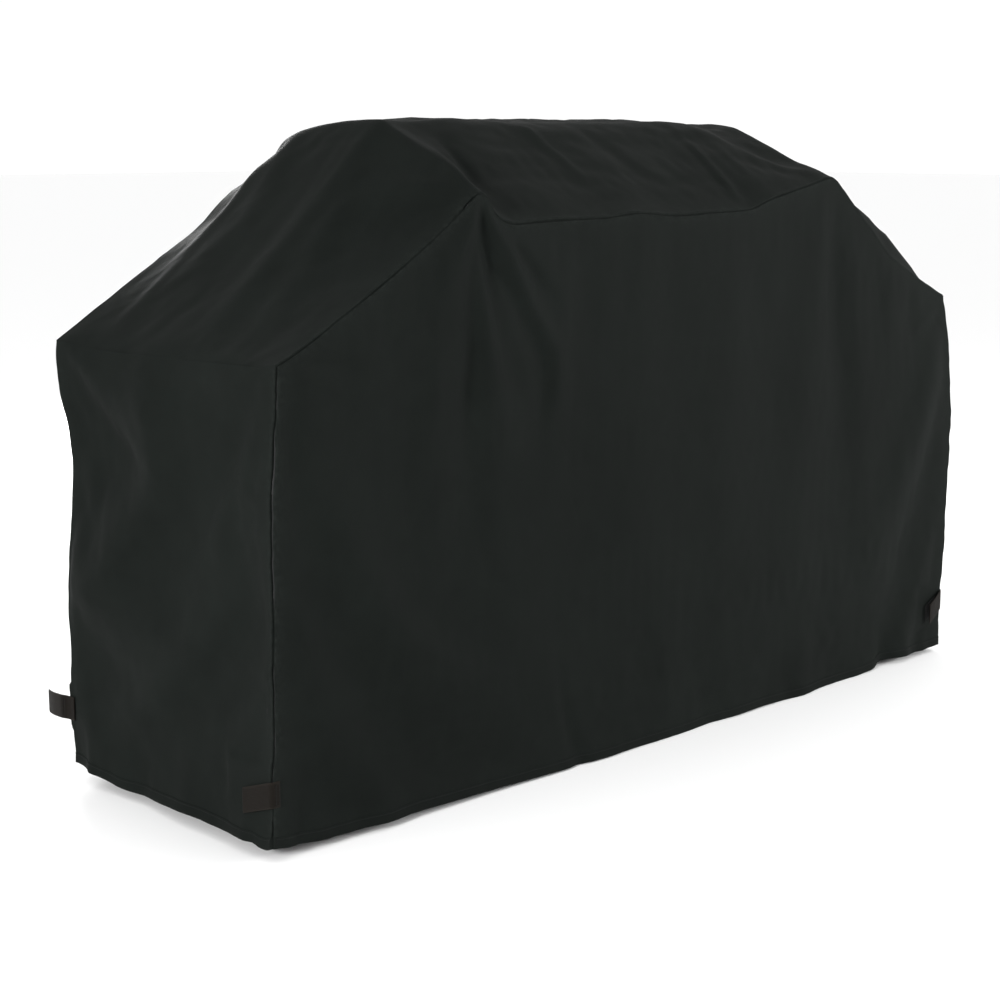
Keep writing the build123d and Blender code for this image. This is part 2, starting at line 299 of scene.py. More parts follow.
# the corner seams of the back are drawn in where nothing holds the cloth out
zl = np.minimum(back[..., 2], S_Z)
pull = pchip(zl, BACK_LEFT_IN) * (back[..., 2] <= S_Z + 1) * np.clip(-bx / S_HALF, 0, 1) ** 8
pull += pchip(zl, BACK_LEFT_IN) * (back[..., 2] > S_Z + 1) * np.clip(-bx / S_HALF, 0, 1) ** 8 * np.clip(1 - (back[..., 2] - S_Z) / 60, 0, 1)
back[..., 1] -= 0.62 * pull
back[..., 0] += 0.40 * pull
pull_r = 0.5 * pchip(zl, [(0, 12), (120, 6), (300, 14), (470, 34), (600, 20), (656, 8)]) * np.clip(bx / S_HALF, 0, 1) ** 8 * np.clip(1 - (back[..., 2] - S_Z) / 60, 0, 1)
back[..., 1] -= pull_r
back[..., 0] -= 0.5 * pull_r

# the front corner seams waver a little, as stitched cloth does
for side, u in ((0, -1), (-1, 1)):
    z = front[:, side, 2]
    waver = 1.5 * noise(z / 55.0, 0 * z + 4.0 + u, 31) + 0.8 * noise(z / 21.0, 0 * z + 2.0 - u, 32)
    waver *= smooth(z / 60.0) * smooth((S_Z - z) / 60.0)
    fall = np.clip(1 - np.abs(front[:, :, 0] - front[:, side:(side + 1) or None, 0]) / 60.0, 0, 1)
    front[:, :, 0] += waver[:, None] * fall


# ---------------------------------------------------------------------------
# wrap sheet: columns along the seam from the left hem over the crown to the
# right hem, rows across from the front seam to the back seam
# ---------------------------------------------------------------------------
def rim(sheet):
    return np.concatenate([sheet[:-1, 0], sheet[-1, :-1], sheet[::-1, -1]])


A, Z = rim(front), rim(back)            # the two seams, point for point
NL = NT - 1
NC = NX - 1
NS = len(A)
R = R_NODES[None, :]
wrap = A[:, None, :] * (1 - R[..., None]) + Z[:, None, :] * R[..., None]
col = np.arange(NS)
is_left = col < NL
is_top = (col >= NL) & (col <= NL + NC)
is_right = col > NL + NC

# roof: heights across the depth, by node, blended from the straight shoulder
# folds to the crown
ARCH_L = [(0, 0.0), (0.16, 44), (0.30, 76), (0.419, 102), (0.53, 100), (0.68, 91), (0.813, 77), (0.91, 42), (1.0, 0)]
ry = R_NODES
yy = FY + ry * (BY - FY)


def arch(left):
    """Crown section height at one end of the crown, by row."""
    if left:
        pts = [(FY, 865), (-200, 905), (-140, 933), (-100, 951), (-69, 963), (-15, 964), (62, 957), (128, 946), (150, 928), (178, 901), (BY, 868)]
    else:
        pts = [(FY, 873), (-263, 878), (-194, 902), (-137, 927), (-95, 945), (-66, 956), (-10, 962), (70, 962), (128, 955), (165, 926), (195, 899), (BY, 870)]
    return pchip(yy, pts)


RIDGE = [(-402, 966), (-376, 966), (-278, 968), (-200, 964.5), (-53, 961.5), (63, 961.5), (192, 964.5), (288, 961), (381, 955), (402, 955)]
top_x = A[is_top, 0]
q = np.clip((S_HALF - np.abs(top_x)) / (S_HALF - C_HALF), 0, 1)
zf = A[is_top, 2]
zb = Z[is_top, 2]
ridge = pchip(np.clip(top_x, -402, 402), RIDGE)
al, ar = arch(True), arch(False)
base_l = al[0] + (al[-1] - al[0]) * ry
base_r = ar[0] + (ar[-1] - ar[0]) * ry
rise_l = al - base_l
rise_r = ar - base_r
# in the crown the rise over the line from seam to seam follows the ridge
mid_prof = pchip(yy, [(FY, 0), (-200, 0.44), (-140, 0.75), (-100, 0.93), (-69, 1.0), (30, 1.02), (128, 0.985), (165, 0.72), (195, 0.42), (BY, 0)])
zz = zf[:, None] + (zb - zf)[:, None] * ry[None, :]
line_at_ridge = zf + (zb - zf) * 0.419
rise_mid = (ridge - line_at_ridge)[:, None] * mid_prof[None, :]
wl = np.clip((-top_x - 250) / 152, 0, 1)
wr = np.clip((top_x - 250) / 152, 0, 1)
wl, wr = smooth(wl)[:, None], smooth(wr)[:, None]
rise_top = rise_mid * (1 - wl - wr) + wl * (rise_l[None, :] + (865 - zf)[:, None] * (1 - ry)[None, :] * mid_prof[None, :] * 0.9) + wr * rise_r[None, :]
on_crown = np.abs(top_x) <= C_HALF
q_eff = np.where(top_x < 0, q ** 1.12, q ** 0.94)[:, None]
slope_rise = np.where(top_x[:, None] < 0, rise_l[None, :], rise_r[None, :]) * q_eff
roof = zz + np.where(on_crown[:, None], rise_top, slope_rise)
wrap[is_top, :, 2] = roof

# sag, drag lines and noise on the slopes and the crown
W = wrap[is_top]
px_, py_ = W[..., 0], W[..., 1]
H = np.zeros_like(px_)
# slopes sag between the shoulder fold and the crown
sag = np.sin(np.pi * np.clip(q, 0, 1))[:, None] * np.sin(np.pi * ry)[None, :]
H += np.where(px_ < -C_HALF, -11.0 * sag, 0) + np.where(px_ > C_HALF, 5.0 * sag, 0)
# drag lines from the raised corner and across the slopes
H += fold(px_, py_, [(-412, -268, 12, 0), (-480, -114, 26, 5), (-560, -128, 26, 7), (-653, -157, 30, 5), (-720, -200, 34, 0)])
H += fold(px_, py_, [(-410, 100, 24, 0), (-520, 60, 34, 6), (-620, 70, 40, 6), (-740, 110, 44, 0)])
H += fold(px_, py_, [(-470, -20, 24, 0), (-580, -30, 34, -6), (-700, -20, 44, 0)])
H += fold(px_, py_, [(-395, -268, 6, 2), (-372, -240, 9, -5), (-350, -205, 12, -5), (-330, -150, 14, 0)])
H += fold(px_, py_, [(-402, -262, 7, 2), (-396, -230, 12, 5), (-380, -180, 18, 5), (-356, -110, 22, 0)])
H += fold(px_, py_, [(-420, -256, 8, 0), (-442, -215, 14, 5), (-470, -170, 20, 4), (-490, -120, 26, 0)])
H += fold(px_, py_, [(-300, -110, 12, 0), (-327, -136, 10, -4), (-336, -201, 12, -4), (-345, -240, 12, 0)])
H += fold(px_, py_, [(-150, -80, 10, 0), (-134, -109, 9, 3), (-118, -172, 10, 4), (-108, -225, 12, 0)], 1.0, 0.4)
H += fold(px_, py_, [(-20, -90, 16, 0), (4, -150, 16, -3), (14, -220, 16, 0)])
H += fold(px_, py_, [(184, -274, 7, 3), (190, -225, 8, 4), (200, -150, 9, 3), (212, -90, 9, 1.5), (216, -30, 10, 0)], 1.0, 0.5)
H += fold(px_, py_, [(400, -268, 10, 0), (340, -200, 22, 5), (280, -120, 30, 4), (250, -60, 30, 0)])
H += fold(px_, py_, [(424, -262, 10, 0), (480, -180, 26, 7), (560, -120, 34, 6), (680, -90, 44, 0)])
H += fold(px_, py_, [(410, 90, 24, 0), (520, 60, 40, 7), (640, 40, 46, 5), (740, 30, 50, 0)])
H += fold(px_, py_, [(-60, 120, 60, 0), (60, 100, 50, -4), (180, 110, 60, 0)])
H += fold(px_, py_, [(-330, 40, 40, 0), (-200, 20, 40, -3), (-60, 40, 50, 0)])
H += 2.2 * noise(px_ / 120.0, py_ / 90.0 + 3.0, 41) + 0.9 * noise(px_ / 46.0, py_ / 40.0, 42)
H += 0.4 * noise(px_ / 22.0, py_ / 22.0, 43)
on_ridge = np.array([np.interp(-69.0, py_[i], H[i]) for i in range(len(H))])[:, None]
H -= 0.9 * on_ridge * np.exp(-((py_ + 69.0) / 55.0) ** 2)
# the right slope stands up just behind its sagging front seam
H += np.interp(top_x, [430, 500, 560, 610, 680, 735], [0, 16, 36, 42, 27, 0])[:, None] * np.exp(-((py_ - (FY + 34)) / 30.0) ** 2)
fade_r = smooth(np.minimum(ry, 1 - ry) * (BY - FY) / 30.0)[None, :]
W[..., 2] += H * fade_r
# no part of the crown rises over the ridge line, and it falls away to the back
cap = np.interp(py_, [-300, -69, 0, 60, 131, 175, 230], [978, 975, 972.5, 965, 948, 916, 884]) + 0 * W[..., 2]
cap -= (np.interp(top_x, [-430, -395, -350], [1, 1, 0]))[:, None] * np.interp(py_, [-69, 20, 100, 131, 150, 200], [0, 5, 5, 7, 16, 8])
cap += 3.5
W[..., 2] = -8.0 * np.logaddexp(-W[..., 2] / 8.0, -cap / 8.0) * fade_r + W[..., 2] * (1 - fade_r)
wrap[is_top] = W

# ends: bowed a little, with long soft folds
for mask, sgn in ((is_left, -1.0), (is_right, 1.0)):
    E = wrap[mask]
    ey, ez = E[..., 1], E[..., 2]
    G = np.zeros_like(ey)
    fade = smooth(np.minimum(R_NODES, 1 - R_NODES) * (BY - FY) / 30.0)[None, :] + 0 * ey
    # the hem line of an end is its own curve
    hem_line = pchip(ey[0 if sgn < 0 else -1], LEFT_HEM if sgn < 0 else RIGHT_HEM)
    old = ez[0 if sgn < 0 else -1]
    ez += (hem_line - old)[None, :] * np.clip(1 - (ez - old[None, :]) / 200.0, 0, 1)
    # the shoulder fold is nearly straight, so the top of an end follows it
    drop = smooth((ez - 560) / (S_Z - 560))
    if sgn < 0:
        G += fold(ey, ez, [(40, 650, 40, 3), (12, 610, 44, 10), (-8, 550, 46, 14), (-16, 490, 48, 15), (30, 420, 48, 14), (95, 360, 48, 13), (160, 305, 50, 9), (200, 270, 50, 4)], 1.0, -0.25)
        G += fold(ey, ez, [(-200, 640, 20, 0), (-190, 540, 30, -6), (-196, 430, 36, -9), (-215, 320, 40, -8), (-220, 200, 40, -3), (-220, 120, 40, 0)])
        G += bump(ey, ez, -100, 330, 110, 150, -12, 20)
        G += bump(ey, ez, 110, 520, 80, 70, -9)
        G += fold(ey, ez, [(-150, 330, 40, 0), (-90, 250, 40, 8), (-20, 190, 44, 10), (60, 150, 50, 8), (150, 120, 50, 3)])
        G += bump(ey, ez, 120, 210, 80, 70, -6)
        G += fold(ey, ez, [(-262, 648, 8, 0), (-225, 640, 12, 4), (-170, 622, 16, 3), (-120, 610, 20, 0)])
        G += fold(ey, ez, [(-60, 140, 30, 0), (-70, 70, 30, 3), (-76, 0, 32, 6)])
        G += fold(ey, ez, [(40, 130, 30, 0), (34, 60, 28, -4), (30, 0, 30, -7)])
        G += fold(ey, ez, [(140, 120, 30, 0), (150, 60, 30, 3), (156, 0, 32, 5)])
    else:
        G += fold(ey, ez, [(-30, 650, 40, 3), (-10, 560, 46, 12), (20, 450, 50, 13), (90, 330, 52, 9), (150, 250, 54, 0)])
        G += bump(ey, ez, -120, 350, 90, 130, -9)
        G += bump(ey, ez, 100, 520, 70, 70, -8)
        G += fold(ey, ez, [(-180, 300, 40, 0), (-90, 210, 42, 9), (20, 150, 46, 8), (120, 110, 50, 0)])
        G += fold(ey, ez, [(-70, 130, 30, 0), (-64, 60, 30, 4), (-60, 0, 32, 7)])
        G += fold(ey, ez, [(60, 120, 30, 0), (70, 60, 30, -4), (74, 0, 32, -7)])
    G += 2.4 * noise(ey / 110.0 + 2.0 * sgn, ez / 150.0, 51) + 1.1 * noise(ey / 45.0, ez / 60.0 + sgn, 52)
    G += 0.4 * noise(ey / 22.0, ez / 24.0, 53)
    E[..., 0] += sgn * (1.6 if sgn < 0 else 1.25) * G * fade * (1 - 0.75 * drop)
    wrap[mask] = E


# the cloth turns softly over both shoulders, and falls in behind the crown's left gable
run = arc0 = np.concatenate([[0], np.cumsum(np.linalg.norm(np.diff(wrap[:, NR // 2], axis=0), axis=1))])
for at_, sx in ((NL, -1.0), (NL + NC, 1.0)):
    d_ = np.abs(run - run[at_])[:, None]
    L_ = 38.0 + 12.0 * noise(wrap[at_, :, 1] / 70.0, 0 * wrap[at_, :, 1], 301)[None, :]
    amt = np.maximum(L_ - d_, 0) ** 2 / (2 * L_) * 0.40
    amt = amt * smooth(np.minimum(R_NODES, 1 - R_NODES)[None, :] * 500.0 / 45.0)
    wrap[..., 0] -= sx * 0.80 * amt
    wrap[..., 2] -= 0.45 * amt
wrap[..., 2] -= 14.0 * np.exp(-((wrap[..., 0] + 436) / 24.0) ** 2) * np.exp(-((wrap[..., 1] - 140) / 34.0) ** 2) * is_top[:, None]

# the hem band of each end must meet the front and back sheets at the corners
front[:, 0, 2] = wrap[np.arange(NL).tolist() + [NL], 0, 2]
wrap[:, 0] = rim(front)
wrap[:, -1] = rim(back)


def normals(pts, sign):
    """Unit normals of a grid of points, turned outwards by sign."""
    du = np.gradient(pts, axis=0)
    dv = np.gradient(pts, axis=1)
    n = np.cross(du, dv)
    n /= np.maximum(np.linalg.norm(n, axis=-1, keepdims=True), 1e-9)
    return n * sign


def outward(pts, toward):
    n = normals(pts, 1.0)
    k = np.sum(n * np.array(toward), -1)
    return n if np.median(k) > 0 else -n


def keep_flat(p, q, cp, cq, rp, rq, soft=18.0):
    """1 inside a patch of half size rp x rq round (cp, cq), falling to 0 outside it."""
    d = np.maximum(np.abs(p - cp) - rp, np.abs(q - cq) - rq)
    return 1 - smooth(d / soft)



def settle(pts, out, name, loose, frames=26):
    """Lets a sheet hang by itself: its seams are held, the rest may move a little from
    the shape given, with slightly more cloth than the shape needs."""
    n, m = pts.shape[:2]
    along = np.concatenate([[0], np.cumsum(np.linalg.norm(np.diff(pts[:, m // 2], axis=0), axis=1))])
    across = np.concatenate([[0], np.cumsum(np.linalg.norm(np.diff(pts[n // 2], axis=0), axis=1))])

    def pick(s_, step):
        keep, last = [0], 0.0
        for i in range(1, len(s_) - 1):
            if s_[i] - last >= step and s_[-1] - s_[i] > step * 0.6:
                keep.append(i)
                last = s_[i]
        return np.array(keep + [len(s_) - 1])

    ri, ci = pick(along, 12.5), pick(across, 12.5)
    coarse = pts[np.ix_(ri, ci)]
    R_, C_ = len(ri), len(ci)
    me = bpy.data.meshes.new(name)
    me.from_pydata([tuple(v) for v in coarse.reshape(-1, 3) * MM], [], grid_faces(R_, C_))
    me.update()
    ob = bpy.data.objects.new(name, me)
    bpy.context.scene.collection.objects.link(ob)
    group = ob.vertex_groups.new(name="hold")
    hold = loose[np.ix_(ri, ci)]
    for i in range(R_):
        for j in range(C_):
            group.add([i * C_ + j], float(hold[i, j]), "REPLACE")
    mod = ob.modifiers.new("hang", "CLOTH")
    st = mod.settings
    st.quality = 6
    st.mass = 0.25
    st.tension_stiffness = st.compression_stiffness = 25
    st.shear_stiffness = 6
    st.bending_stiffness = 12
    st.tension_damping = st.compression_damping = st.shear_damping = 12
    st.bending_damping = 1.5
    st.air_damping = 4
    st.shrink_min = -0.0025
    st.vertex_group_mass = "hold"
    st.pin_stiffness = 1.0
    mod.collision_settings.use_collision = False
    mod.collision_settings.use_self_collision = False
    mod.point_cache.frame_start, mod.point_cache.frame_end = 1, frames
    sc = bpy.context.scene
    for fr in range(1, frames + 1):
        sc.frame_set(fr)
    dg = bpy.context.evaluated_depsgraph_get()
    ev = ob.evaluated_get(dg)
    co = np.empty(R_ * C_ * 3)
    ev.data.vertices.foreach_get("co", co)
    moved = co.reshape(R_, C_, 3) / MM - coarse
    sc.frame_set(1)
    bpy.data.objects.remove(ob)
    bpy.data.meshes.remove(me)
    size = np.linalg.norm(moved, axis=-1, keepdims=True)
    print("SETTLE", name, R_, C_, "mean", round(float(size.mean()), 2), "max", round(float(size.max()), 2))
    limit = 9.0
    moved = moved * (limit * np.tanh(size / limit) / np.maximum(size, 1e-6))
    # back on to the fine rows and columns
    fr_ = np.interp(np.arange(n), ri, np.arange(R_))
    fc_ = np.interp(np.arange(m), ci, np.arange(C_))
    # rows by length rather than by count
    fr_ = np.interp(along, along[ri], np.arange(R_))
    fc_ = np.interp(across, across[ci], np.arange(C_))

    def cubic(f, x):
        i = np.clip(np.floor(x).astype(int), 0, len(f) - 2)
        t = (x - i).reshape((-1,) + (1,) * (f.ndim - 1))
        p0, p1, p2, p3 = f[np.maximum(i - 1, 0)], f[i], f[i + 1], f[np.minimum(i + 2, len(f) - 1)]
        return p1 + 0.5 * t * (p2 - p0 + t * (2 * p0 - 5 * p1 + 4 * p2 - p3 + t * (3 * (p1 - p2) + p3 - p0)))

    big = cubic(moved, fr_)
    big = np.swapaxes(cubic(np.swapaxes(big, 0, 1), fc_), 0, 1)
    return pts + big * out[..., None]


def grid_faces(n, m, wrap_m=False, base=0):
    res = []
    for i in range(n - 1):
        for j in range(m if wrap_m else m - 1):
            k = (j + 1) % m
            res.append((base + i * m + j, base + i * m + k, base + (i + 1) * m + k, base + (i + 1) * m + j))
    return res


for which in (0, 1):
    pts = front if which == 0 else back
    x, z = pts[..., 0], pts[..., 2]
    dl = np.minimum(np.abs(x - x[:, :1]), np.abs(x - x[:, -1:]))
    dt = z[-1:] - z
    inner = smooth(np.minimum(dl, dt) / 60.0)
    hold = 1.0 - 0.86 * inner
    hold = np.where(z < 30, np.maximum(hold, 0.35), hold)
    hold = np.where(np.minimum(dl, dt) < 3, 1.0, hold)
    res = settle(pts, smooth(np.minimum(dl, dt) / 24.0), "front_hang" if which == 0 else "back_hang", hold)
    res[..., 2] = np.where(z < 40, z + (res[..., 2] - z) * smooth(z / 40.0), res[..., 2])
    if which == 0:
        front = res
    else:
        back = res
x = wrap
dist = np.minimum(R_NODES, 1 - R_NODES)[None, :] * 500.0 + 0 * wrap[..., 0]
end_up = np.minimum(wrap[..., 2], 60.0)
inner = smooth(dist / 70.0)
roofy = (is_top[:, None] & (dist > -1))
hold = 1.0 - np.where(roofy, 0.62, 0.88) * inner
hold = np.where((wrap[..., 2] < 30) & ~roofy, np.maximum(hold, 0.35), hold)
hold = np.where(dist < 3, 1.0, hold)
res = settle(wrap, smooth(dist / 24.0), "wrap_hang", hold)
zz_ = wrap[..., 2]
res[..., 2] = np.where((zz_ < 40) & ~roofy, zz_ + (res[..., 2] - zz_) * smooth(zz_ / 40.0), res[..., 2])
# the roof may sag but not rise over the outline
res[..., 2] = np.where(roofy, np.minimum(res[..., 2], zz_ + 2.0), res[..., 2])
wrap = res
wrap[:, 0] = rim(front)
wrap[:, -1] = rim(back)

# cloth lies flat on the panel planes where the tabs are stitched or close
k = keep_flat(wrap[is_left][..., 1], wrap[is_left][..., 2], -246, 95, 62, 26)
E = wrap[is_left]
E[..., 0] = E[..., 0] * (1 - k) + (-777.2) * k
k = keep_flat(E[..., 1], E[..., 2], 214, 111, 26, 26)
E[..., 0] = np.where(k > 0, E[..., 0] * (1 - k) + np.maximum(E[..., 0], -777.2) * k, E[..., 0])
wrap[is_left] = E
E = wrap[is_right]
k = keep_flat(E[..., 1], E[..., 2], 186, 98, 66, 26)
E[..., 0] = E[..., 0] * (1 - k) + 777.2 * k
k = keep_flat(E[..., 1], E[..., 2], -262, 96, 22, 26)
E[..., 0] = np.where(k > 0, E[..., 0] * (1 - k) + np.minimum(E[..., 0], 777.6) * k, E[..., 0])
wrap[is_right] = E
k = keep_flat(front[..., 0], front[..., 2], 752, 92, 40, 30)
front[..., 1] = front[..., 1] * (1 - k) + (FY + 0.6) * k
k = keep_flat(front[..., 0], front[..., 2], -770, 95, 14, 24)
front[..., 1] = front[..., 1] * (1 - k) + np.maximum(front[..., 1], FY + 0.4) * k
k = keep_flat(back[..., 0], back[..., 2], -736, 111, 24, 26, 14.0)
back[..., 1] = back[..., 1] * (1 - k) + (BY - 0.8) * k
k = keep_flat(back[..., 0], back[..., 2], 768, 98, 14, 24)
back[..., 1] = back[..., 1] * (1 - k) + np.minimum(back[..., 1], BY - 0.4) * k


def seam_distance(nodes, length):
    return np.minimum(nodes, 1 - nodes) * length


def arc(line):
    d = np.linalg.norm(np.diff(line, axis=0), axis=1)
    return np.concatenate([[0], np.cumsum(d)])


def evened(n, times=3):
    """Directions along a seam, softened from point to point."""
    for _ in range(times):
        n[1:-1] = 0.5 * n[1:-1] + 0.25 * (n[:-2] + n[2:])
    return n / np.maximum(np.linalg.norm(n, axis=-1, keepdims=True), 1e-9)


def ripples(along, dist, seed):
    """Short puckers that run in from a seam and die away."""
    waves = 0.75 * noise(along / 14.0, dist / 60.0 + seed, seed) * np.exp(-dist / 13.0)
    waves += 0.60 * noise(along / 34.0, dist / 80.0 + seed, seed + 1) * np.exp(-dist / 32.0)
    return waves * smooth(dist / 4.0)


NF = outward(front, (0, -1, 0))
NB = outward(back, (0, 1, 0))
NW = normals(wrap, 1.0)
NW = NW * np.sign(np.sum(NW * (wrap - np.array([0, CY, 400.0])), -1, keepdims=True))


def crease(pts, n, dist, along, into, depth, width, seed, edge):
    """Turns a sheet's edge down into the seam: depth and width run along the seam,
    into is the way in. The lip beside it is rounded over."""
    d = dist
    w = width
    inward = depth * np.exp(-(d / w) ** 2)
    lip = 0.9 * np.exp(-((d - 2.1 * w) / (1.1 * w)) ** 2) * np.clip(depth / 4.0, 0, 1)
    pts = pts + into * inward[..., None] + n * (lip + ripples(along, d, seed))[..., None]
    over = edge * np.exp(-((d - 1.2 * w) / (0.9 * w)) ** 2) * np.clip(depth / 4.0, 0, 1)
    return pts, over


def seam_sizes(line, is_front):
    """How deep and how wide the seam lies open, point by point."""
    s_ = arc(line)
    x, z = line[:, 0], line[:, 2]
    vary = noise(s_ / 46.0, 0 * s_, 201 if is_front else 202)
    fine = noise(s_ / 13.0, 0 * s_, 203 if is_front else 204)
    depth = 3.0 + 1.1 * vary + 0.5 * fine
    width = 1.35 + 0.25 * vary + 0.18 * fine
    corner_l = (x < -740) & (z < 652)
    corner_r = (x > 740) & (z < 652)
    depth = np.where(corner_l | corner_r, depth + 1.4, depth)
    width = np.where(corner_l | corner_r, width + 0.30, width)
    if is_front:
        open_l = np.interp(z, [0, 150, 330, 430, 500, 560, 600, 656], [0.2, 0.5, 0.5, 1.9, 2.4, 0.9, 0.3, 0.2])
        depth = np.where(corner_l, depth + open_l, depth)
        width = np.where(corner_l, width + 0.42 * open_l, width)
        # nearly closed on the way up to the raised corner, then open again at its curl
        faint = np.interp(x, [-560, -520, -452, -434, -424, -412, -404, -396, -388, -372, 380, 396, 404, 416, 428], [1, 0.45, 0.35, 0.5, 1.7, 1.5, 0.5, 0.9, 1.3, 1.0, 1, 0.5, 0.3, 0.8, 1])
        depth, width = depth * faint, width * (0.75 + 0.25 * faint)
    ends = smooth(np.minimum(s_, s_[-1] - s_) / 22.0)
    return depth * (0.25 + 0.75 * ends), width


def near_seam(nodes, length):
    return np.minimum(nodes, 1 - nodes) * length


for is_front in (True, False):
    pts, n = (front, NF) if is_front else (back, NB)
    edge_w = 0 if is_front else -1
    line = rim(pts)
    s_ = arc(line)
    nw = NW[:, edge_w]
    into = -evened(rim(n) + nw, 4)
    depth, width = seam_sizes(line, is_front)
    # spread the seam's own numbers over the sheet: left column, top row, right column
    out = pts.copy()
    x, z = pts[..., 0], pts[..., 2]
    low_in = smooth(z / 24.0)
    slope = np.abs(np.gradient(z[-1], x[-1]))
    parts = [
        (np.abs(x - x[:, :1]), lambda v: np.repeat(np.concatenate([v[:NL], v[NL:NL + 1]])[:, None], NX, 1)),
        ((z[-1:] - z) / np.sqrt(1 + slope[None, :] ** 2), lambda v: np.repeat(v[NL:NL + NX][None, :], NT, 0)),
        (np.abs(x - x[:, -1:]), lambda v: np.repeat(np.concatenate([v[NS - NL:][::-1], v[NS - NL - 1:NS - NL]])[:, None], NX, 1)),
    ]
    total = np.zeros_like(pts)
    weight = np.zeros(x.shape)
    for k_, (dist, spread) in enumerate(parts):
        dep, wid, al_ = spread(depth), spread(width), spread(s_)
        it = np.stack([spread(into[:, c]) for c in range(3)], -1)
        fade = low_in if k_ != 1 else np.ones_like(low_in)
        moved, over = crease(np.zeros_like(pts), n, dist, al_, it, dep * fade, wid, 61 + 10 * k_ + (0 if is_front else 5), 0.9)
        side = np.zeros(3)
        if k_ == 0:
            side = np.array([-1.0, 0, 0])
        elif k_ == 2:
            side = np.array([1.0, 0, 0])
        moved = moved + side * over[..., None]
        # at the shoulder points two seams meet, and the nearer one counts
        near = np.exp(-dist / 3.0)
        total += moved * near[..., None]
        weight += near
    far = np.zeros_like(pts)
    mix = total / np.maximum(weight, 1e-12)[..., None]
    out = pts + mix
    # the rim itself is one line, shared with the wrap sheet
    new_rim = line + into * (depth * np.concatenate([low_in[:-1, 0], np.ones(NX), low_in[::-1, -1][1:]]))[:, None]
    out[:-1, 0] = new_rim[:NL]
    out[-1, :] = new_rim[NL:NL + NX]
    out[:-1, -1] = new_rim[NS - NL:][::-1]
    if is_front:
        front_new, f_into, f_depth, f_width, f_line = out, into, depth, width, line
    else:
        back_new, b_into, b_depth, b_width, b_line = out, into, depth, width, line

wrap_new = wrap.copy()
low_col = smooth(np.minimum(wrap[:, 0, 2], wrap[:, -1, 2]) / 24.0)
low_col = np.where(is_top, 1.0, low_col)[:, None]
for edge_w, (line, into, depth, width, seed) in ((0, (f_line, f_into, f_depth, f_width, 131)), (-1, (b_line, b_into, b_depth, b_width, 141))):
    dist = (R_NODES if edge_w == 0 else 1 - R_NODES)[None, :] * 500.0 + 0 * wrap[..., 0]
    s_ = arc(line)[:, None] + 0 * dist
    moved, over = crease(np.zeros_like(wrap), NW, dist, s_, into[:, None, :] + 0 * wrap, depth[:, None] * low_col + 0 * dist, width[:, None] + 0 * dist, seed, 0.3)
    wrap_new += moved
front, back, wrap = front_new, back_new, wrap_new
wrap[:, 0] = rim(front)
wrap[:, -1] = rim(back)
# a bartack beside the front left corner seam puckers the cloth
E = wrap[is_left]
ey_, ez_ = E[..., 1], E[..., 2]
E[..., 0] += 1.9 * np.exp(-((ey_ + 258.5) / 3.2) ** 2) * np.exp(-((ez_ - 212) / 22.0) ** 2)
E[..., 0] -= 1.0 * (np.exp(-((ey_ + 252) / 4.0) ** 2) + np.exp(-((ey_ + 265) / 3.5) ** 2)) * np.exp(-((ez_ - 212) / 26.0) ** 2)
wrap[is_left] = E
wd = near_seam(R_NODES, 500.0)[None, :]


# ---------------------------------------------------------------------------
# meshes
# ---------------------------------------------------------------------------
def link(name, me):
    o = bpy.data.objects.new(name, me)
    bpy.context.scene.collection.objects.link(o)
    return o


def mesh_of(name, verts, faces, smooth_faces=True):
    me = bpy.data.meshes.new(name)
    me.from_pydata([tuple(v) for v in (np.asarray(verts, float) * MM)], [], faces)
    me.validate()
    me.update()
    me.polygons.foreach_set("use_smooth", [smooth_faces] * len(me.polygons))
    return link(name, me)


def grid_faces(n, m, wrap_m=False, base=0):
    out = []
    for i in range(n - 1):
        for j in range(m if wrap_m else m - 1):
            k = (j + 1) % m
            out.append((base + i * m + j, base + i * m + k, base + (i + 1) * m + k, base + (i + 1) * m + j))
    return out


def tube(name, rings, caps=True):
    """Closed skin round rings[n][m] of points."""
    rings = np.asarray(rings, float)
    n, m = rings.shape[:2]
    faces = grid_faces(n, m, True)
    if caps:
        faces.append(tuple(range(m))[::-1])
        faces.append(tuple((n - 1) * m + j for j in range(m)))
    o = mesh_of(name, rings.reshape(-1, 3), faces)
    bm = bmesh.new()
    bm.from_mesh(o.data)
    bmesh.ops.recalc_face_normals(bm, faces=bm.faces)
    bm.to_mesh(o.data)
    bm.free()
    return o


def flat_map(pts, o):
    """Flat cloth coordinates in metres, so that the weave runs with the threads."""
    u = np.cumsum(np.concatenate([np.zeros((pts.shape[0], 1)), np.linalg.norm(np.diff(pts, axis=1), axis=-1)], 1), 1)
    v = np.cumsum(np.concatenate([np.zeros((1, pts.shape[1])), np.linalg.norm(np.diff(pts, axis=0), axis=-1)], 0), 0)
    u = np.repeat(u[pts.shape[0] // 2][None, :], pts.shape[0], 0)
    v = np.repeat(v[:, pts.shape[1] // 2][:, None], pts.shape[1], 1)
    uv = np.stack([u, v], -1).reshape(-1, 2) * MM
    layer = o.data.uv_layers.new(name="cloth")
    idx = np.empty(len(o.data.loops), np.int32)
    o.data.loops.foreach_get("vertex_index", idx)
    layer.data.foreach_set("uv", uv[idx].ravel())


def paint(o, name, values):
    """A value for each vertex that a material can read."""
    at = o.data.attributes.new(name, "FLOAT", "POINT")
    at.data.foreach_set("value", np.asarray(values, np.float32).ravel())


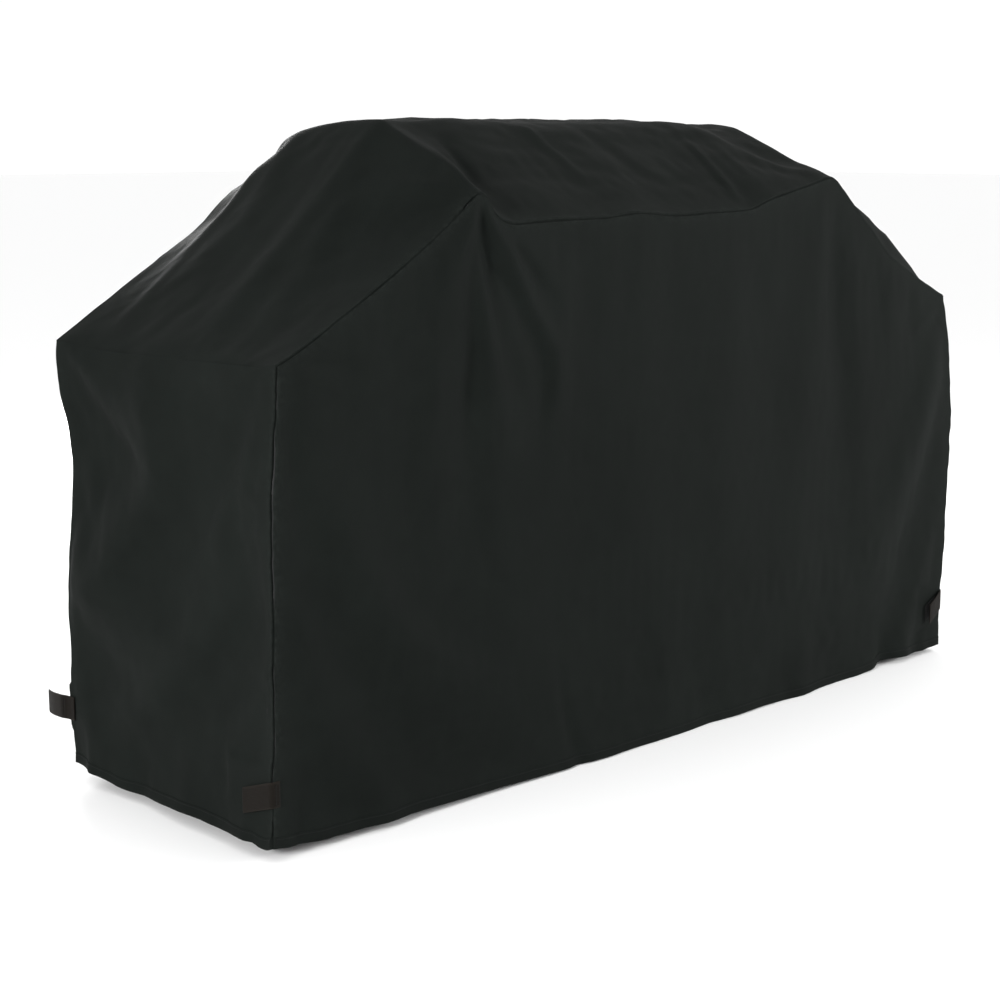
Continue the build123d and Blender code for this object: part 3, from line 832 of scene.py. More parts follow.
def cloth_object(name, pts, wear_and_edge_highlight, toward):
    n, m = pts.shape[:2]
    faces = grid_faces(n, m)
    nn = normals(pts, 1.0)
    if toward == "out":
        ref = pts - np.array([0, CY, 400.0])
        good = np.median(np.sum(nn * ref, -1)) > 0
    else:
        good = np.median(np.sum(nn * np.array(toward), -1)) > 0
    # grid_faces winds with du x dv reversed
    if good:
        faces = [f[::-1] for f in faces]
    o = mesh_of(name, pts.reshape(-1, 3), faces)
    flat_map(pts, o)
    paint(o, "wear_and_edge_highlight", wear_and_edge_highlight)
    mod = o.modifiers.new("thickness", "SOLIDIFY")
    mod.thickness = 1.1 * MM
    mod.offset = -1
    return o


def wear_of(dist, z):
    return np.clip(np.exp(-dist / 9.0) + 0.8 * np.exp(-z / 18.0), 0, 1)


def sheet_wear(pts):
    x, z = pts[..., 0], pts[..., 2]
    dl, dr = np.abs(x - x[:, :1]), np.abs(x - x[:, -1:])
    return wear_of(np.minimum(np.minimum(dl, dr), z[-1:] - z), z)


front_cloth = cloth_object("front_cloth", front, sheet_wear(front), (0, -1, 0))
back_cloth = cloth_object("back_cloth", back, sheet_wear(back), (0, 1, 0))
wrap_cloth = cloth_object("wrap_cloth", wrap, wear_of(wd + 0 * wrap[..., 0], wrap[..., 2]), "out")


# ---------------------------------------------------------------------------
# seams: the folded edges stitched together at the bottom of the crease
# ---------------------------------------------------------------------------
def rolled_seam(name, line, n1, n2, seed, r=0.75):
    t = np.gradient(line, axis=0)
    t /= np.linalg.norm(t, axis=1, keepdims=True)
    out = n1 + n2
    out -= np.sum(out * t, 1, keepdims=True) * t
    out /= np.linalg.norm(out, axis=1, keepdims=True)
    for _ in range(3):
        out[1:-1] = 0.5 * out[1:-1] + 0.25 * (out[:-2] + out[2:])
    out /= np.linalg.norm(out, axis=1, keepdims=True)
    side = np.cross(t, out)
    s = arc(line)
    k = 10
    ang = np.linspace(0, 2 * np.pi, k, endpoint=False)
    rad = r * (1 + 0.16 * noise(s / 8.0, 0 * s, seed) + 0.10 * noise(s / 3.7, 0 * s, seed + 1))
    sway = 0.35 * noise(s / 19.0, 0 * s, seed + 2)
    c = line + out * (0.15 * r) + side * sway[:, None]
    rings = c[:, None, :] + rad[:, None, None] * (np.cos(ang)[None, :, None] * side[:, None, :] + 1.15 * np.sin(ang)[None, :, None] * out[:, None, :])
    return tube(name, rings)


def dense(line, step=3.0, extra=()):
    """The line and any fields along it, taken at an even step."""
    s = arc(line)
    m = max(3, int(round(s[-1] / step)) + 1)
    u = np.linspace(0, s[-1], m)
    put = lambda f: np.stack([np.interp(u, s, f[:, i]) for i in range(3)], 1)
    return [put(line)] + [put(f) for f in extra]


def rim_of(n):
    return rim(n)


fl_, n1_, n2_ = dense(rim(front), 3.0, (rim(NF), NW[:, 0]))
front_seam = rolled_seam("front_seam", fl_, n1_, n2_, 91)
bl_, n1b_, n2b_ = dense(rim(back), 3.0, (rim(NB), NW[:, -1]))
back_seam = rolled_seam("back_seam", bl_, n1b_, n2b_, 95)


# bound seam allowance, a tape lying on the inner face all along each seam
def binding(name, sheet_pts, n):
    reach = [1, 4, 6, 8]
    lines = [[(t, j) for j in reach] for t in range(0, NT - 9)]
    lines.append([(NT - 1 - j, j) for j in reach])
    lines += [[(NT - 1 - j, i) for j in reach] for i in range(9, NX - 9)]
    lines.append([(NT - 1 - j, NX - 1 - j) for j in reach])
    lines += [[(t, NX - 1 - j) for j in reach] for t in range(NT - 10, -1, -1)]
    rings = []
    for ln in lines:
        inner = [sheet_pts[a] - n[a] * 1.6 for a in ln]
        far = [sheet_pts[a] - n[a] * 2.6 for a in ln][::-1]
        rings.append(inner + far)
    return tube(name, rings)


front_binding = binding("front_seam_tape", front, NF)
back_binding = binding("back_seam_tape", back, NB)


# ---------------------------------------------------------------------------
# hems: cloth turned twice, a thicker band with a stitched line along its top
# ---------------------------------------------------------------------------
HEM_H = 16.0


def rise_line(column, h):
    """Point at height h along a column of points that starts at the hem."""
    s = arc(column)
    return np.array([np.interp(h, s, column[:, i]) for i in range(3)])


def hem_band(name, columns, col_normals, seed):
    """columns[i] climbs from the hem. Gives the band and the line its stitches follow."""
    profile = [  # height, stand out
        (HEM_H + 0.3, 0.05), (HEM_H - 0.4, 0.75), (HEM_H - 2.2, 0.95), (HEM_H - 3.4, 0.75), (HEM_H - 6.5, 1.30), (6.0, 1.55),
        (2.4, 1.35), (0.4, 0.75), (-0.25, -0.35), (0.4, -1.65), (2.4, -2.35), (8.0, -2.5), (HEM_H - 3.4, -2.1), (HEM_H - 0.6, -2.0), (HEM_H + 0.3, -1.15),
    ]
    rings, line, outs = [], [], []
    pts = [np.asarray(c) for c in columns]
    s = arc(np.array([c[0] for c in pts]))
    for i, (c, n) in enumerate(zip(pts, col_normals)):
        ring = []
        puff = 1 + 0.22 * noise(np.array([s[i] / 26.0]), np.array([0.0]), seed)[0] + 0.14 * noise(np.array([s[i] / 9.0]), np.array([3.0]), seed)[0]
        for h, d in profile:
            p = rise_line(c, max(h, 0.0))
            if h < 0:
                p = p + np.array([0, 0, h])
            d2 = d * puff if 1.0 < abs(d) else d
            ring.append(p + n * d2)
        rings.append(ring)
        line.append(rise_line(c, HEM_H - 3.0) + n * 1.0)
        outs.append(n)
    return tube(name, rings), np.array(line), np.array(outs)


def columns_of(pts, n, rows=8):
    cols = [pts[:rows, j] for j in range(pts.shape[1])]
    return cols, [n[2, j] for j in range(pts.shape[1])]


front_hem, f_line, f_out = hem_band("front_hem_band", *columns_of(front, NF), 101)
back_hem, b_line, b_out = hem_band("back_hem_band", *columns_of(back, NB), 102)
left_hem, l_line, l_out = hem_band("left_hem_band", *columns_of(wrap[:NL], NW[:NL]), 103)
right_hem, r_line, r_out = hem_band("right_hem_band", *columns_of(wrap[::-1][:NL], NW[::-1][:NL]), 104)


def stitches(name, line, out, pitch=4.6, length=3.3, r=0.42, start=2.0, side_shift=0.0):
    """A row of short thread stitches lying on the cloth along a line."""
    s = arc(line)
    n = int((s[-1] - 2 * start) / pitch)
    verts, faces = [], []
    at = lambda f, u: np.array([np.interp(u, s, f[:, i]) for i in range(3)])
    for k in range(max(n, 1)):
        a = start + k * pitch
        p0, p1 = at(line, a), at(line, a + length)
        o = at(out, a + length / 2)
        t = p1 - p0
        L = np.linalg.norm(t)
        if L < 1e-6:
            continue
        t /= L
        o = o - np.dot(o, t) * t
        o /= np.linalg.norm(o)
        b = np.cross(t, o)
        base = len(verts)
        for f, sink, rr in ((0.0, -0.35, 0.45), (0.18, 0.05, 0.9), (0.5, 0.18, 1.0), (0.82, 0.05, 0.9), (1.0, -0.35, 0.45)):
            c = p0 + t * L * f + o * sink * r * 1.6 + b * side_shift
            for q in range(5):
                g = 2 * math.pi * q / 5
                verts.append(c + r * rr * (math.cos(g) * b + math.sin(g) * o))
        faces += grid_faces(5, 5, True, base)
        faces.append(tuple(base + q for q in range(5))[::-1])
        faces.append(tuple(base + 20 + q for q in range(5)))
    o_ = mesh_of(name, verts, faces)
    bm = bmesh.new()
    bm.from_mesh(o_.data)
    bmesh.ops.recalc_face_normals(bm, faces=bm.faces)
    bm.to_mesh(o_.data)
    bm.free()
    return o_


def bartack(name):
    """A short dense row of thread beside the front left corner."""
    i = int(np.argmin(np.abs(wrap[:NL, 0, 2] - 205)))
    j = int(np.argmin(np.abs(wrap[i, :, 1] + 258.5)))
    verts, faces = [], []
    for q in range(7):
        c = wrap[i, j] + np.array([-0.5, 0, -3.0 + q])
        base = len(verts)
        for f, rr in ((-1.3, 0.2), (-0.8, 0.5), (0.0, 0.6), (0.8, 0.5), (1.3, 0.2)):
            for g in range(6):
                an = math.pi / 3 * g
                verts.append(c + np.array([-0.35 * (1 - (f / 1.3) ** 2) + rr * math.cos(an), f, rr * math.sin(an)]))
        faces += [fc[::-1] for fc in grid_faces(5, 6, True, base)]
        faces.append(tuple(base + g for g in range(6)))
        faces.append(tuple(base + 24 + g for g in range(6))[::-1])
    return mesh_of(name, verts, faces)


thread = [
    bartack("corner_bartack"),
    stitches("front_hem_stitches", f_line, f_out),
    stitches("back_hem_stitches", b_line, b_out),
    stitches("left_hem_stitches", l_line, l_out),
    stitches("right_hem_stitches", r_line, r_out),
]


# ---------------------------------------------------------------------------
# corner tabs
# ---------------------------------------------------------------------------
JOINTS = {j["name"]: j for j in frame["joints"]}
TAB_W = 36.0
CORNERS = {
    # closing direction, way out of the panel it closes on, low edge, open angle at rest, free length, turn down at the tip
    "front_left": ((0, 1), (-1, 0), 77.0, 0.0, 64.0, 22.0),
    "back_left": ((1, 0), (0, 1), 93.0, 73.0, 64.0, 8.0),
    "back_right": ((0, -1), (1, 0), 80.0, 0.0, 64.0, 0.0),
    "front_right": ((-1, 0), (0, -1), 82.0, 4.0, 50.0, 24.0),
}


def rounded_bar(half_w, half_t, n=5, m=2):
    """Outline of a flat webbing section with soft edges: (across, through)."""
    pts = []
    for i in range(n * 2 + 1):
        b = -half_w + 2 * half_w * i / (n * 2)
        pts.append((b, half_t * (0.55 if i in (0, n * 2) else 1.0)))
    pts.append((half_w + 0.35, 0.0))
    for i in range(n * 2 + 1):
        b = half_w - 2 * half_w * i / (n * 2)
        pts.append((b, -half_t * (0.55 if i in (0, n * 2) else 1.0)))
    pts.append((-half_w - 0.35, 0.0))
    return pts


class Tab:
    def __init__(self, name):
        d, n, low, open_deg, free, droop = CORNERS[name]
        j = JOINTS[name + "_tab_fold"]
        self.name, self.low, self.open, self.free, self.droop = name, low, open_deg, free, droop
        self.o = np.array([j["pos_m"][0] / MM, j["pos_m"][1] / MM, 0.0])
        self.ex = np.array([d[0], d[1], 0.0])
        self.ey = np.array([n[0], n[1], 0.0])
        self.mid = low + TAB_W / 2

    def world(self, x, y, z):
        return self.o + self.ex * x + self.ey * y + np.array([0, 0, z])


def tab_path(tab):
    """Centre line in the tab's closed frame: stitched end, bend, free end. Each point: x, y and run."""
    a = math.radians(tab.open)
    c, s = math.cos(a), math.sin(a)
    base = [(-0.35, -13.5), (-0.35, -11.5), (-0.35, -9.5), (-0.3, -7.5), (-0.1, -5.2)]
    if tab.name == "back_left":
        base = [(4.0, -30.0), (4.2, -26.0), (4.4, -23.0), (4.4, -20.0), (3.6, -12.0), (1.6, -6.0)]
    bend = [(0.1 - 0.2 * s, -3.2 + 0.3 * s), (0.55 * c + 0.1, -1.5 + 0.6 * s)]
    first = 3.0
    tail = []
    m = 22
    for i in range(m + 1):
        r = first + (tab.free - first) * i / m
        f = r / tab.free
        lift = 0.0
        if tab.name == "front_left":
            lift = 0.5 * math.sin(f * math.pi) + 1.2 * f ** 4
        elif tab.name == "back_right":
            lift = 0.7 * math.sin(f * math.pi) + 0.8 * f ** 4
        elif tab.name == "front_right":
            lift = 2.6 * math.sin(f * 2.2) + 1.0 * f
        else:
            lift = 2.4 * math.sin(f * math.pi) + 0.4 * f
        tail.append((r * c - lift * s, r * s + lift * c))
    line = np.array(base + bend + tail)
    s_ = np.concatenate([[0], np.cumsum(np.linalg.norm(np.diff(line, axis=0), axis=1))])
    total = s_[-1]
    u = np.linspace(0, total, 60)
    # rounded a little at the bend
    x, y = np.interp(u, s_, line[:, 0]), np.interp(u, s_, line[:, 1])
    for _ in range(3):
        x[1:-1] = 0.5 * x[1:-1] + 0.25 * (x[:-2] + x[2:])
        y[1:-1] = 0.5 * y[1:-1] + 0.25 * (y[:-2] + y[2:])
    root = float(np.interp(len(base) + 2, np.arange(len(s_)), s_))
    return x, y, u, root, total


FALL_U = np.linspace(0, 1, 400)


def tab_rings(tab, half_w, half_t, from_run=None, to_run=None, lift=0.0, count=None, ripple=0.25):
    x, y, u, root, total = tab_path(tab)
    lo = 0.0 if from_run is None else from_run
    hi = total if to_run is None else to_run
    uu = np.linspace(lo, hi, count or 60)
    xs, ys = np.interp(uu, u, x), np.interp(uu, u, y)
    tx, ty = np.interp(uu, u, np.gradient(x, u)), np.interp(uu, u, np.gradient(y, u))
    L = np.hypot(tx, ty)
    tx, ty = tx / L, ty / L
    nx, ny = -ty, tx           # away from the panel it closes on
    # the free part slants down in its own plane
    tilt = math.atan2(tab.droop, tab.free)
    turn = tilt * smooth((uu - root + 9.0) / 16.0)
    fall = np.array([np.interp(v, FALL_U * (total), np.concatenate([[0], np.cumsum(np.sin(tilt * smooth((FALL_U[1:] * total - root + 9.0) / 16.0)) * np.diff(FALL_U * total))])) for v in uu])
    shrink = np.array([np.interp(v, FALL_U * (total), np.concatenate([[0], np.cumsum((1 - np.cos(tilt * smooth((FALL_U[1:] * total - root + 9.0) / 16.0))) * np.diff(FALL_U * total))])) for v in uu])
    sec = rounded_bar(half_w, half_t)
    rings = []
    for i in range(len(uu)):
        ring = []
        cx, cy_ = xs[i] - tx[i] * shrink[i], ys[i] - ty[i] * shrink[i]
        cz = tab.mid - fall[i]
        wob = ripple * math.sin(uu[i] / 7.0 + tab.low)
        for b, t in sec:
            tt = t + lift + wob * math.cos(math.pi * b / (2 * half_w)) * 0.5
            # across the webbing: straight up
            ax = 0.0
            az = b
            px = cx + tx[i] * ax
            py = cy_ + ty[i] * ax
            ring.append(tab.world(px + nx[i] * tt, py + ny[i] * tt, cz + az))
        rings.append(ring)
    return np.array(rings), root, total


tabs = {}
for name in CORNERS:
    tab = Tab(name)
    rings, root, total = tab_rings(tab, TAB_W / 2 - 0.35, 0.75)
    webbing = tube(name + "_webbing", rings)
    flat = np.repeat(np.linspace(0, total, len(rings))[:, None], rings.shape[1], 1)
    sec = np.array([b for b, _ in rounded_bar(TAB_W / 2 - 0.35, 0.75)])
    across = np.repeat(sec[None, :], len(rings), 0)
    uv = np.stack([across, flat], -1).reshape(-1, 2) * MM
    layer = webbing.data.uv_layers.new(name="cloth")
    idx = np.empty(len(webbing.data.loops), np.int32)
    webbing.data.loops.foreach_get("vertex_index", idx)
    layer.data.foreach_set("uv", uv[idx].ravel())
    # a band 2.5 mm wide along both edges, kept as a vertex attribute, that the webbing material makes paler: painted
    # edge highlight
    edge = np.clip(1 - (TAB_W / 2 - np.abs(across)) / 2.5, 0, 1)
    paint(webbing, "wear_and_edge_highlight", edge)
    tabs[name] = (tab, webbing, root, total)


def stud_pad(name, tab, root, total):
    """Hook tape under the webbing: a thin plate with rows of small hooks."""
    half_w = 15.0
    lo, hi = root + 14.0, total - 4.0
    plate, _, _ = tab_rings(tab, half_w - 0.35, 0.25, lo, hi, lift=-1.0, count=24)
    # fall and turn are counted from the start of a run, so the plate follows the webbing's own
    full, _, _ = tab_rings(tab, half_w - 0.35, 0.25, 0.0, total, lift=-1.0, count=240)
    us = np.linspace(0, total, 240)
    keep = (us >= lo) & (us <= hi)
    plate = full[keep][::4]
    o = tube(name, plate)
    verts = [tuple(v.co / MM) for v in o.data.vertices]
    faces = [tuple(p.vertices) for p in o.data.polygons]
    m = full.shape[1]
    # hooks stand on the side that faces the panel
    lowside = [i for i, (b, t) in enumerate(rounded_bar(half_w - 0.35, 0.25)) if t < -0.2]
    rows = full[keep]
    for i in range(3, len(rows) - 3, 6):
        line = rows[i][lowside]
        nxt = rows[min(i + 1, len(rows) - 1)][lowside]
        tdir = nxt.mean(0) - line.mean(0)
        tdir /= np.linalg.norm(tdir)
        adir = line[-1] - line[0]
        W_ = np.linalg.norm(adir)
        adir /= W_
        ndir = np.cross(tdir, adir)
        if np.dot(ndir, rows[i].mean(0) - line.mean(0)) > 0:
            ndir = -ndir
        k = int(W_ / 1.9)
        for q in range(1, k):
            c = line[0] + adir * (W_ * q / k)
            base = len(verts)
            r0 = 0.34
            for hgt, rr, fwd in ((-0.1, r0, 0.0), (0.32, r0 * 0.8, 0.1), (0.5, r0 * 0.9, 0.35)):
                cc = c + ndir * hgt + tdir * fwd
                for g in range(4):
                    an = math.pi / 2 * g
                    verts.append(tuple(cc + rr * (math.cos(an) * tdir + math.sin(an) * adir)))
            faces += grid_faces(3, 4, True, base)
            faces.append(tuple(base + 8 + g for g in range(4)))
    bpy.data.objects.remove(o)
    return mesh_of(name, verts, faces, False)


def loop_pad(name, tab):
    """Loop tape on the panel: a soft, slightly furry pad with rounded corners."""
    a0, a1 = 14.0, tab.free - 4.0
    half_w = 15.0
    n, m = 30, 24
    top = np.zeros((n, m, 3))
    for i in range(n):
        for j in range(m):
            f, g = i / (n - 1), j / (m - 1)
            x = a0 + (a1 - a0) * f
            b = -half_w + 2 * half_w * g
            e = min(min(f, 1 - f) * (a1 - a0), min(g, 1 - g) * 2 * half_w)
            cr = 3.0
            dx, db = max(0, cr - min(x - a0, a1 - x)), max(0, cr - (half_w - abs(b)))
            if math.hypot(dx, db) > cr and dx > 0 and db > 0:
                k = cr / math.hypot(dx, db)
                x = (a0 + cr - dx * k) if x - a0 < a1 - x else (a1 - cr + dx * k)
                b = math.copysign(half_w - cr + db * k, b)
            h = -3.05 + 0.95 * (1 - math.exp(-e / 0.9))
            h += 0.09 * noise(np.array([x / 1.1]), np.array([b / 1.1]), 77)[0] * (1 if e > 0.5 else 0)
            top[i, j] = tab.world(x, h, tab.mid + b - (tab.droop / tab.free * x if tab.name in ("front_left", "front_right") else 0.0))
    bottom = np.zeros_like(top)
    for i in range(n):
        for j in range(m):
            p = top[i, j]
            yloc = np.dot(p - tab.o, tab.ey)
            bottom[i, j] = p - tab.ey * (yloc + 3.9)
    verts = np.concatenate([top.reshape(-1, 3), bottom.reshape(-1, 3)])
    faces = grid_faces(n, m) + [f[::-1] for f in grid_faces(n, m, False, n * m)]
    ring = [(0, j) for j in range(m)] + [(i, m - 1) for i in range(1, n)] + [(n - 1, j) for j in range(m - 2, -1, -1)] + [(i, 0) for i in range(n - 2, 0, -1)]
    for k in range(len(ring)):
        a, b = ring[k], ring[(k + 1) % len(ring)]
        ia, ib = a[0] * m + a[1], b[0] * m + b[1]
        faces.append((ia, ib, ib + n * m, ia + n * m))
    o = mesh_of(name, verts, faces)
    bm = bmesh.new()
    bm.from_mesh(o.data)
    bmesh.ops.recalc_face_normals(bm, faces=bm.faces)
    bm.to_mesh(o.data)
    bm.free()
    return o


def tab_stitching(tab, webbing_root):
    """Thread on the stitched end of a tab: a box of stitches."""
    y0, y1 = -12.0, -6.4
    z0, z1 = tab.mid - TAB_W / 2 + 3.0, tab.mid + TAB_W / 2 - 3.0
    xo = -1.25
    corners_ = [(y0, z0), (y0, z1), (y1, z1), (y1, z0), (y0, z0)]
    out = -tab.ex
    rows = []
    for (ya, za), (yb, zb) in zip(corners_[:-1], corners_[1:]):
        rows.append((tab.world(xo, ya, za), tab.world(xo, yb, zb)))
    verts, faces = [], []
    for p, q_ in rows:
        L = np.linalg.norm(q_ - p)
        if L < 6:
            cnt = 2
        else:
            cnt = max(2, int(L / 4))
        line = np.linspace(0, 1, cnt + 1)
        pts = p[None, :] + (q_ - p)[None, :] * line[:, None]
        o = stitches("tmp", pts, np.repeat(out[None, :], len(pts), 0), pitch=3.2, length=2.4, r=0.33, start=0.4)
        base = len(verts)
        verts += [tuple(v.co / MM) for v in o.data.vertices]
        faces += [tuple(base + i for i in f.vertices) for f in o.data.polygons]
        bpy.data.objects.remove(o)
    return mesh_of(tab.name + "_tab_stitches", verts, faces)


# ---------------------------------------------------------------------------
# materials
# ---------------------------------------------------------------------------
def new_material(name):
    m = bpy.data.materials.new(name)
    m.use_nodes = True
    nt = m.node_tree
    bsdf = nt.nodes["Principled BSDF"]
    return m, nt, bsdf


class Nodes:
    def __init__(self, nt):
        self.nt = nt

    def __call__(self, kind, inputs=None, **props):
        n = self.nt.nodes.new(kind)
        for k, v in props.items():
            setattr(n, k, v)
        for k, v in (inputs or {}).items():
            if isinstance(v, bpy.types.NodeSocket):
                self.nt.links.new(v, n.inputs[k])
            else:
                n.inputs[k].default_value = v
        return n

    def link(self, a, b):
        self.nt.links.new(a, b)

    def math(self, op, a, b=0.0, c=None):
        n = self.nt.nodes.new("ShaderNodeMath")
        n.operation = op
        for i, v in enumerate((a, b) if c is None else (a, b, c)):
            if isinstance(v, bpy.types.NodeSocket):
                self.nt.links.new(v, n.inputs[i])
            else:
                n.inputs[i].default_value = v
        return n.outputs[0]

    def noise(self, vec, scale, detail=2.0, rough=0.5, dist=0.0):
        return self("ShaderNodeTexNoise", {"Vector": vec, "Scale": scale, "Detail": detail, "Roughness": rough, "Distortion": dist})

    def ramp(self, fac, stops):
        n = self.nt.nodes.new("ShaderNodeValToRGB")
        e = n.color_ramp.elements
        while len(e) > 1:
            e.remove(e[-1])
        for i, (p, c) in enumerate(stops):
            el = e[0] if i == 0 else e.new(p)
            el.position = p
            el.color = (*c, 1)
        self.nt.links.new(fac, n.inputs[0])
        return n.outputs[0]


def coated_cloth(name, base, weave_mm=0.62, uv=True, wear_and_edge_highlight=True, crease=1.0):
    """Woven polyester with a thin coating: fine threads, faint mottling, dull wear where it is handled."""
    m, nt, bsdf = new_material(name)
    N = Nodes(nt)
    obj = N("ShaderNodeTexCoord").outputs["Object"]
    where = N("ShaderNodeUVMap", uv_map="cloth").outputs["UV"] if uv else obj
    sep = N("ShaderNodeSeparateXYZ", {"Vector": where})
    k = 2 * math.pi / (weave_mm * MM)
    sx = N.math("SINE", N.math("MULTIPLY", sep.outputs[0], k))
    sy = N.math("SINE", N.math("MULTIPLY", sep.outputs[1 if uv else 2], k))
    weave = N.math("MULTIPLY", sx, sy)
    big = N.noise(obj, 2.6, 3.0, 0.55, 0.4)
    mid = N.noise(obj, 22.0, 4.0, 0.6, 0.3)
    fine = N.noise(obj, 900.0, 2.0, 0.6)
    tone = N.math("ADD", N.math("MULTIPLY", big.outputs[0], 0.6), N.math("MULTIPLY", mid.outputs[0], 0.4))
    d = tuple(c * 0.82 for c in base)
    l = tuple(c * 1.20 for c in base)
    col = N.ramp(tone, [(0.36, d), (0.52, base), (0.68, l)])
    speck = N("ShaderNodeMix", {"Factor": N.math("MULTIPLY", fine.outputs[0], 0.30), 6: col, 7: (*[c * 0.5 for c in base], 1)}, data_type="RGBA")
    out = speck.outputs[2]
    rough = N.math("ADD", N.math("MULTIPLY", mid.outputs[0], 0.14), 0.60)
    if wear_and_edge_highlight:
        w = N("ShaderNodeAttribute", attribute_name="wear_and_edge_highlight").outputs["Fac"]
        scuff = N.noise(obj, 160.0, 4.0, 0.7)
        wf = N.math("MULTIPLY", w, N.math("MULTIPLY", N.math("SMOOTH_MAX", N.math("SUBTRACT", scuff.outputs[0], 0.40), 0.0, 0.1), 1.6))
        worn = N("ShaderNodeMix", {"Factor": wf, 6: out, 7: (*[c * 2.3 + 0.004 for c in base], 1)}, data_type="RGBA")
        out = worn.outputs[2]
        rough = N.math("ADD", rough, N.math("MULTIPLY", wf, 0.2))
    N.link(out, bsdf.inputs["Base Color"])
    N.link(rough, bsdf.inputs["Roughness"])
    bsdf.inputs["Specular IOR Level"].default_value = 0.5
    bsdf.inputs["IOR"].default_value = 1.09
    bsdf.inputs["Sheen Weight"].default_value = 0.008
    bsdf.inputs["Sheen Roughness"].default_value = 0.45
    crinkle = N.noise(obj, 55.0, 5.0, 0.62, 0.6)
    wrinkle = N.noise(obj, 14.0, 3.0, 0.5, 0.8)
    h = N.math("ADD", N.math("MULTIPLY", crinkle.outputs[0], 0.55 * crease), N.math("MULTIPLY", wrinkle.outputs[0], 1.3 * crease))
    b1 = N("ShaderNodeBump", {"Height": h, "Distance": 0.0011, "Strength": 0.55})
    b2 = N("ShaderNodeBump", {"Height": N.math("ADD", N.math("MULTIPLY", weave, 0.5), N.math("MULTIPLY", fine.outputs[0], 0.5)), "Distance": 0.00009, "Strength": 0.6, "Normal": b1.outputs[0]})
    N.link(b2.outputs[0], bsdf.inputs["Normal"])
    return m


def webbing_material(name, base):
    """Ribbed webbing: rows of thick threads. The colour is darker where the rib height is low, which is painted shade
    in the gaps between threads, and paler near both edges, which is a painted highlight along the edges.
    """
    m, nt, bsdf = new_material(name)
    N = Nodes(nt)
    obj = N("ShaderNodeTexCoord").outputs["Object"]
    uvn = N("ShaderNodeUVMap", uv_map="cloth").outputs["UV"]
    sep = N("ShaderNodeSeparateXYZ", {"Vector": uvn})
    rib = N.math("SINE", N.math("MULTIPLY", sep.outputs[0], 2 * math.pi / 0.0019))
    pick = N.math("SINE", N.math("MULTIPLY", sep.outputs[1], 2 * math.pi / 0.0013))
    h = N.math("ADD", N.math("MULTIPLY", rib, 0.5), N.math("MULTIPLY", N.math("MULTIPLY", rib, pick), 0.5))
    fuzz = N.noise(obj, 1400.0, 2.0, 0.6)
    mott = N.noise(obj, 60.0, 3.0, 0.6)
    # colour follows the rib height and the noise: darker where the ribs are low, painted shade in the gaps
    t = N.math("ADD", N.math("MULTIPLY", h, 0.22), N.math("ADD", N.math("MULTIPLY", mott.outputs[0], 0.5), N.math("MULTIPLY", fuzz.outputs[0], 0.4)))
    col = N.ramp(t, [(0.2, tuple(c * 0.5 for c in base)), (0.5, base), (0.85, tuple(c * 1.55 for c in base))])
    # a paler colour mixed in near both edges: painted highlight along the webbing edges
    w = N("ShaderNodeAttribute", attribute_name="wear_and_edge_highlight").outputs["Fac"]
    edge_highlight_mix = N("ShaderNodeMix", {"Factor": N.math("MULTIPLY", w, 0.5), 6: col, 7: (*[c * 2.2 for c in base], 1)}, data_type="RGBA")
    N.link(edge_highlight_mix.outputs[2], bsdf.inputs["Base Color"])
    N.link(N.math("ADD", N.math("MULTIPLY", mott.outputs[0], 0.15), 0.62), bsdf.inputs["Roughness"])
    bsdf.inputs["IOR"].default_value = 1.15
    bsdf.inputs["Sheen Weight"].default_value = 0.015
    bsdf.inputs["Sheen Roughness"].default_value = 0.5
    b = N("ShaderNodeBump", {"Height": N.math("ADD", h, N.math("MULTIPLY", fuzz.outputs[0], 0.5)), "Distance": 0.00025, "Strength": 0.8})
    N.link(b.outputs[0], bsdf.inputs["Normal"])
    return m


def simple_fibre(name, base, rough, scale, bump, spec=0.25, sheen=0.1):
    m, nt, bsdf = new_material(name)
    N = Nodes(nt)
    obj = N("ShaderNodeTexCoord").outputs["Object"]
    a = N.noise(obj, scale, 3.0, 0.6)
    c = N.noise(obj, scale * 0.08, 3.0, 0.6)
    t = N.math("ADD", N.math("MULTIPLY", a.outputs[0], 0.6), N.math("MULTIPLY", c.outputs[0], 0.4))
    N.link(N.ramp(t, [(0.3, tuple(x * 0.6 for x in base)), (0.52, base), (0.75, tuple(x * 1.6 for x in base))]), bsdf.inputs["Base Color"])
    N.link(N.math("ADD", N.math("MULTIPLY", c.outputs[0], 0.2), rough - 0.1), bsdf.inputs["Roughness"])
    bsdf.inputs["Specular IOR Level"].default_value = spec
    bsdf.inputs["Sheen Weight"].default_value = sheen
    b = N("ShaderNodeBump", {"Height": a.outputs[0], "Distance": bump, "Strength": 0.8})
    N.link(b.outputs[0], bsdf.inputs["Normal"])
    return m


CLOTH = (0.0067, 0.0082, 0.0073)
cloth_mat = coated_cloth("coated_cloth", CLOTH)
hem_mat = coated_cloth("hem_cloth", tuple(c * 0.96 for c in CLOTH), uv=False, wear_and_edge_highlight=False, crease=1.6)
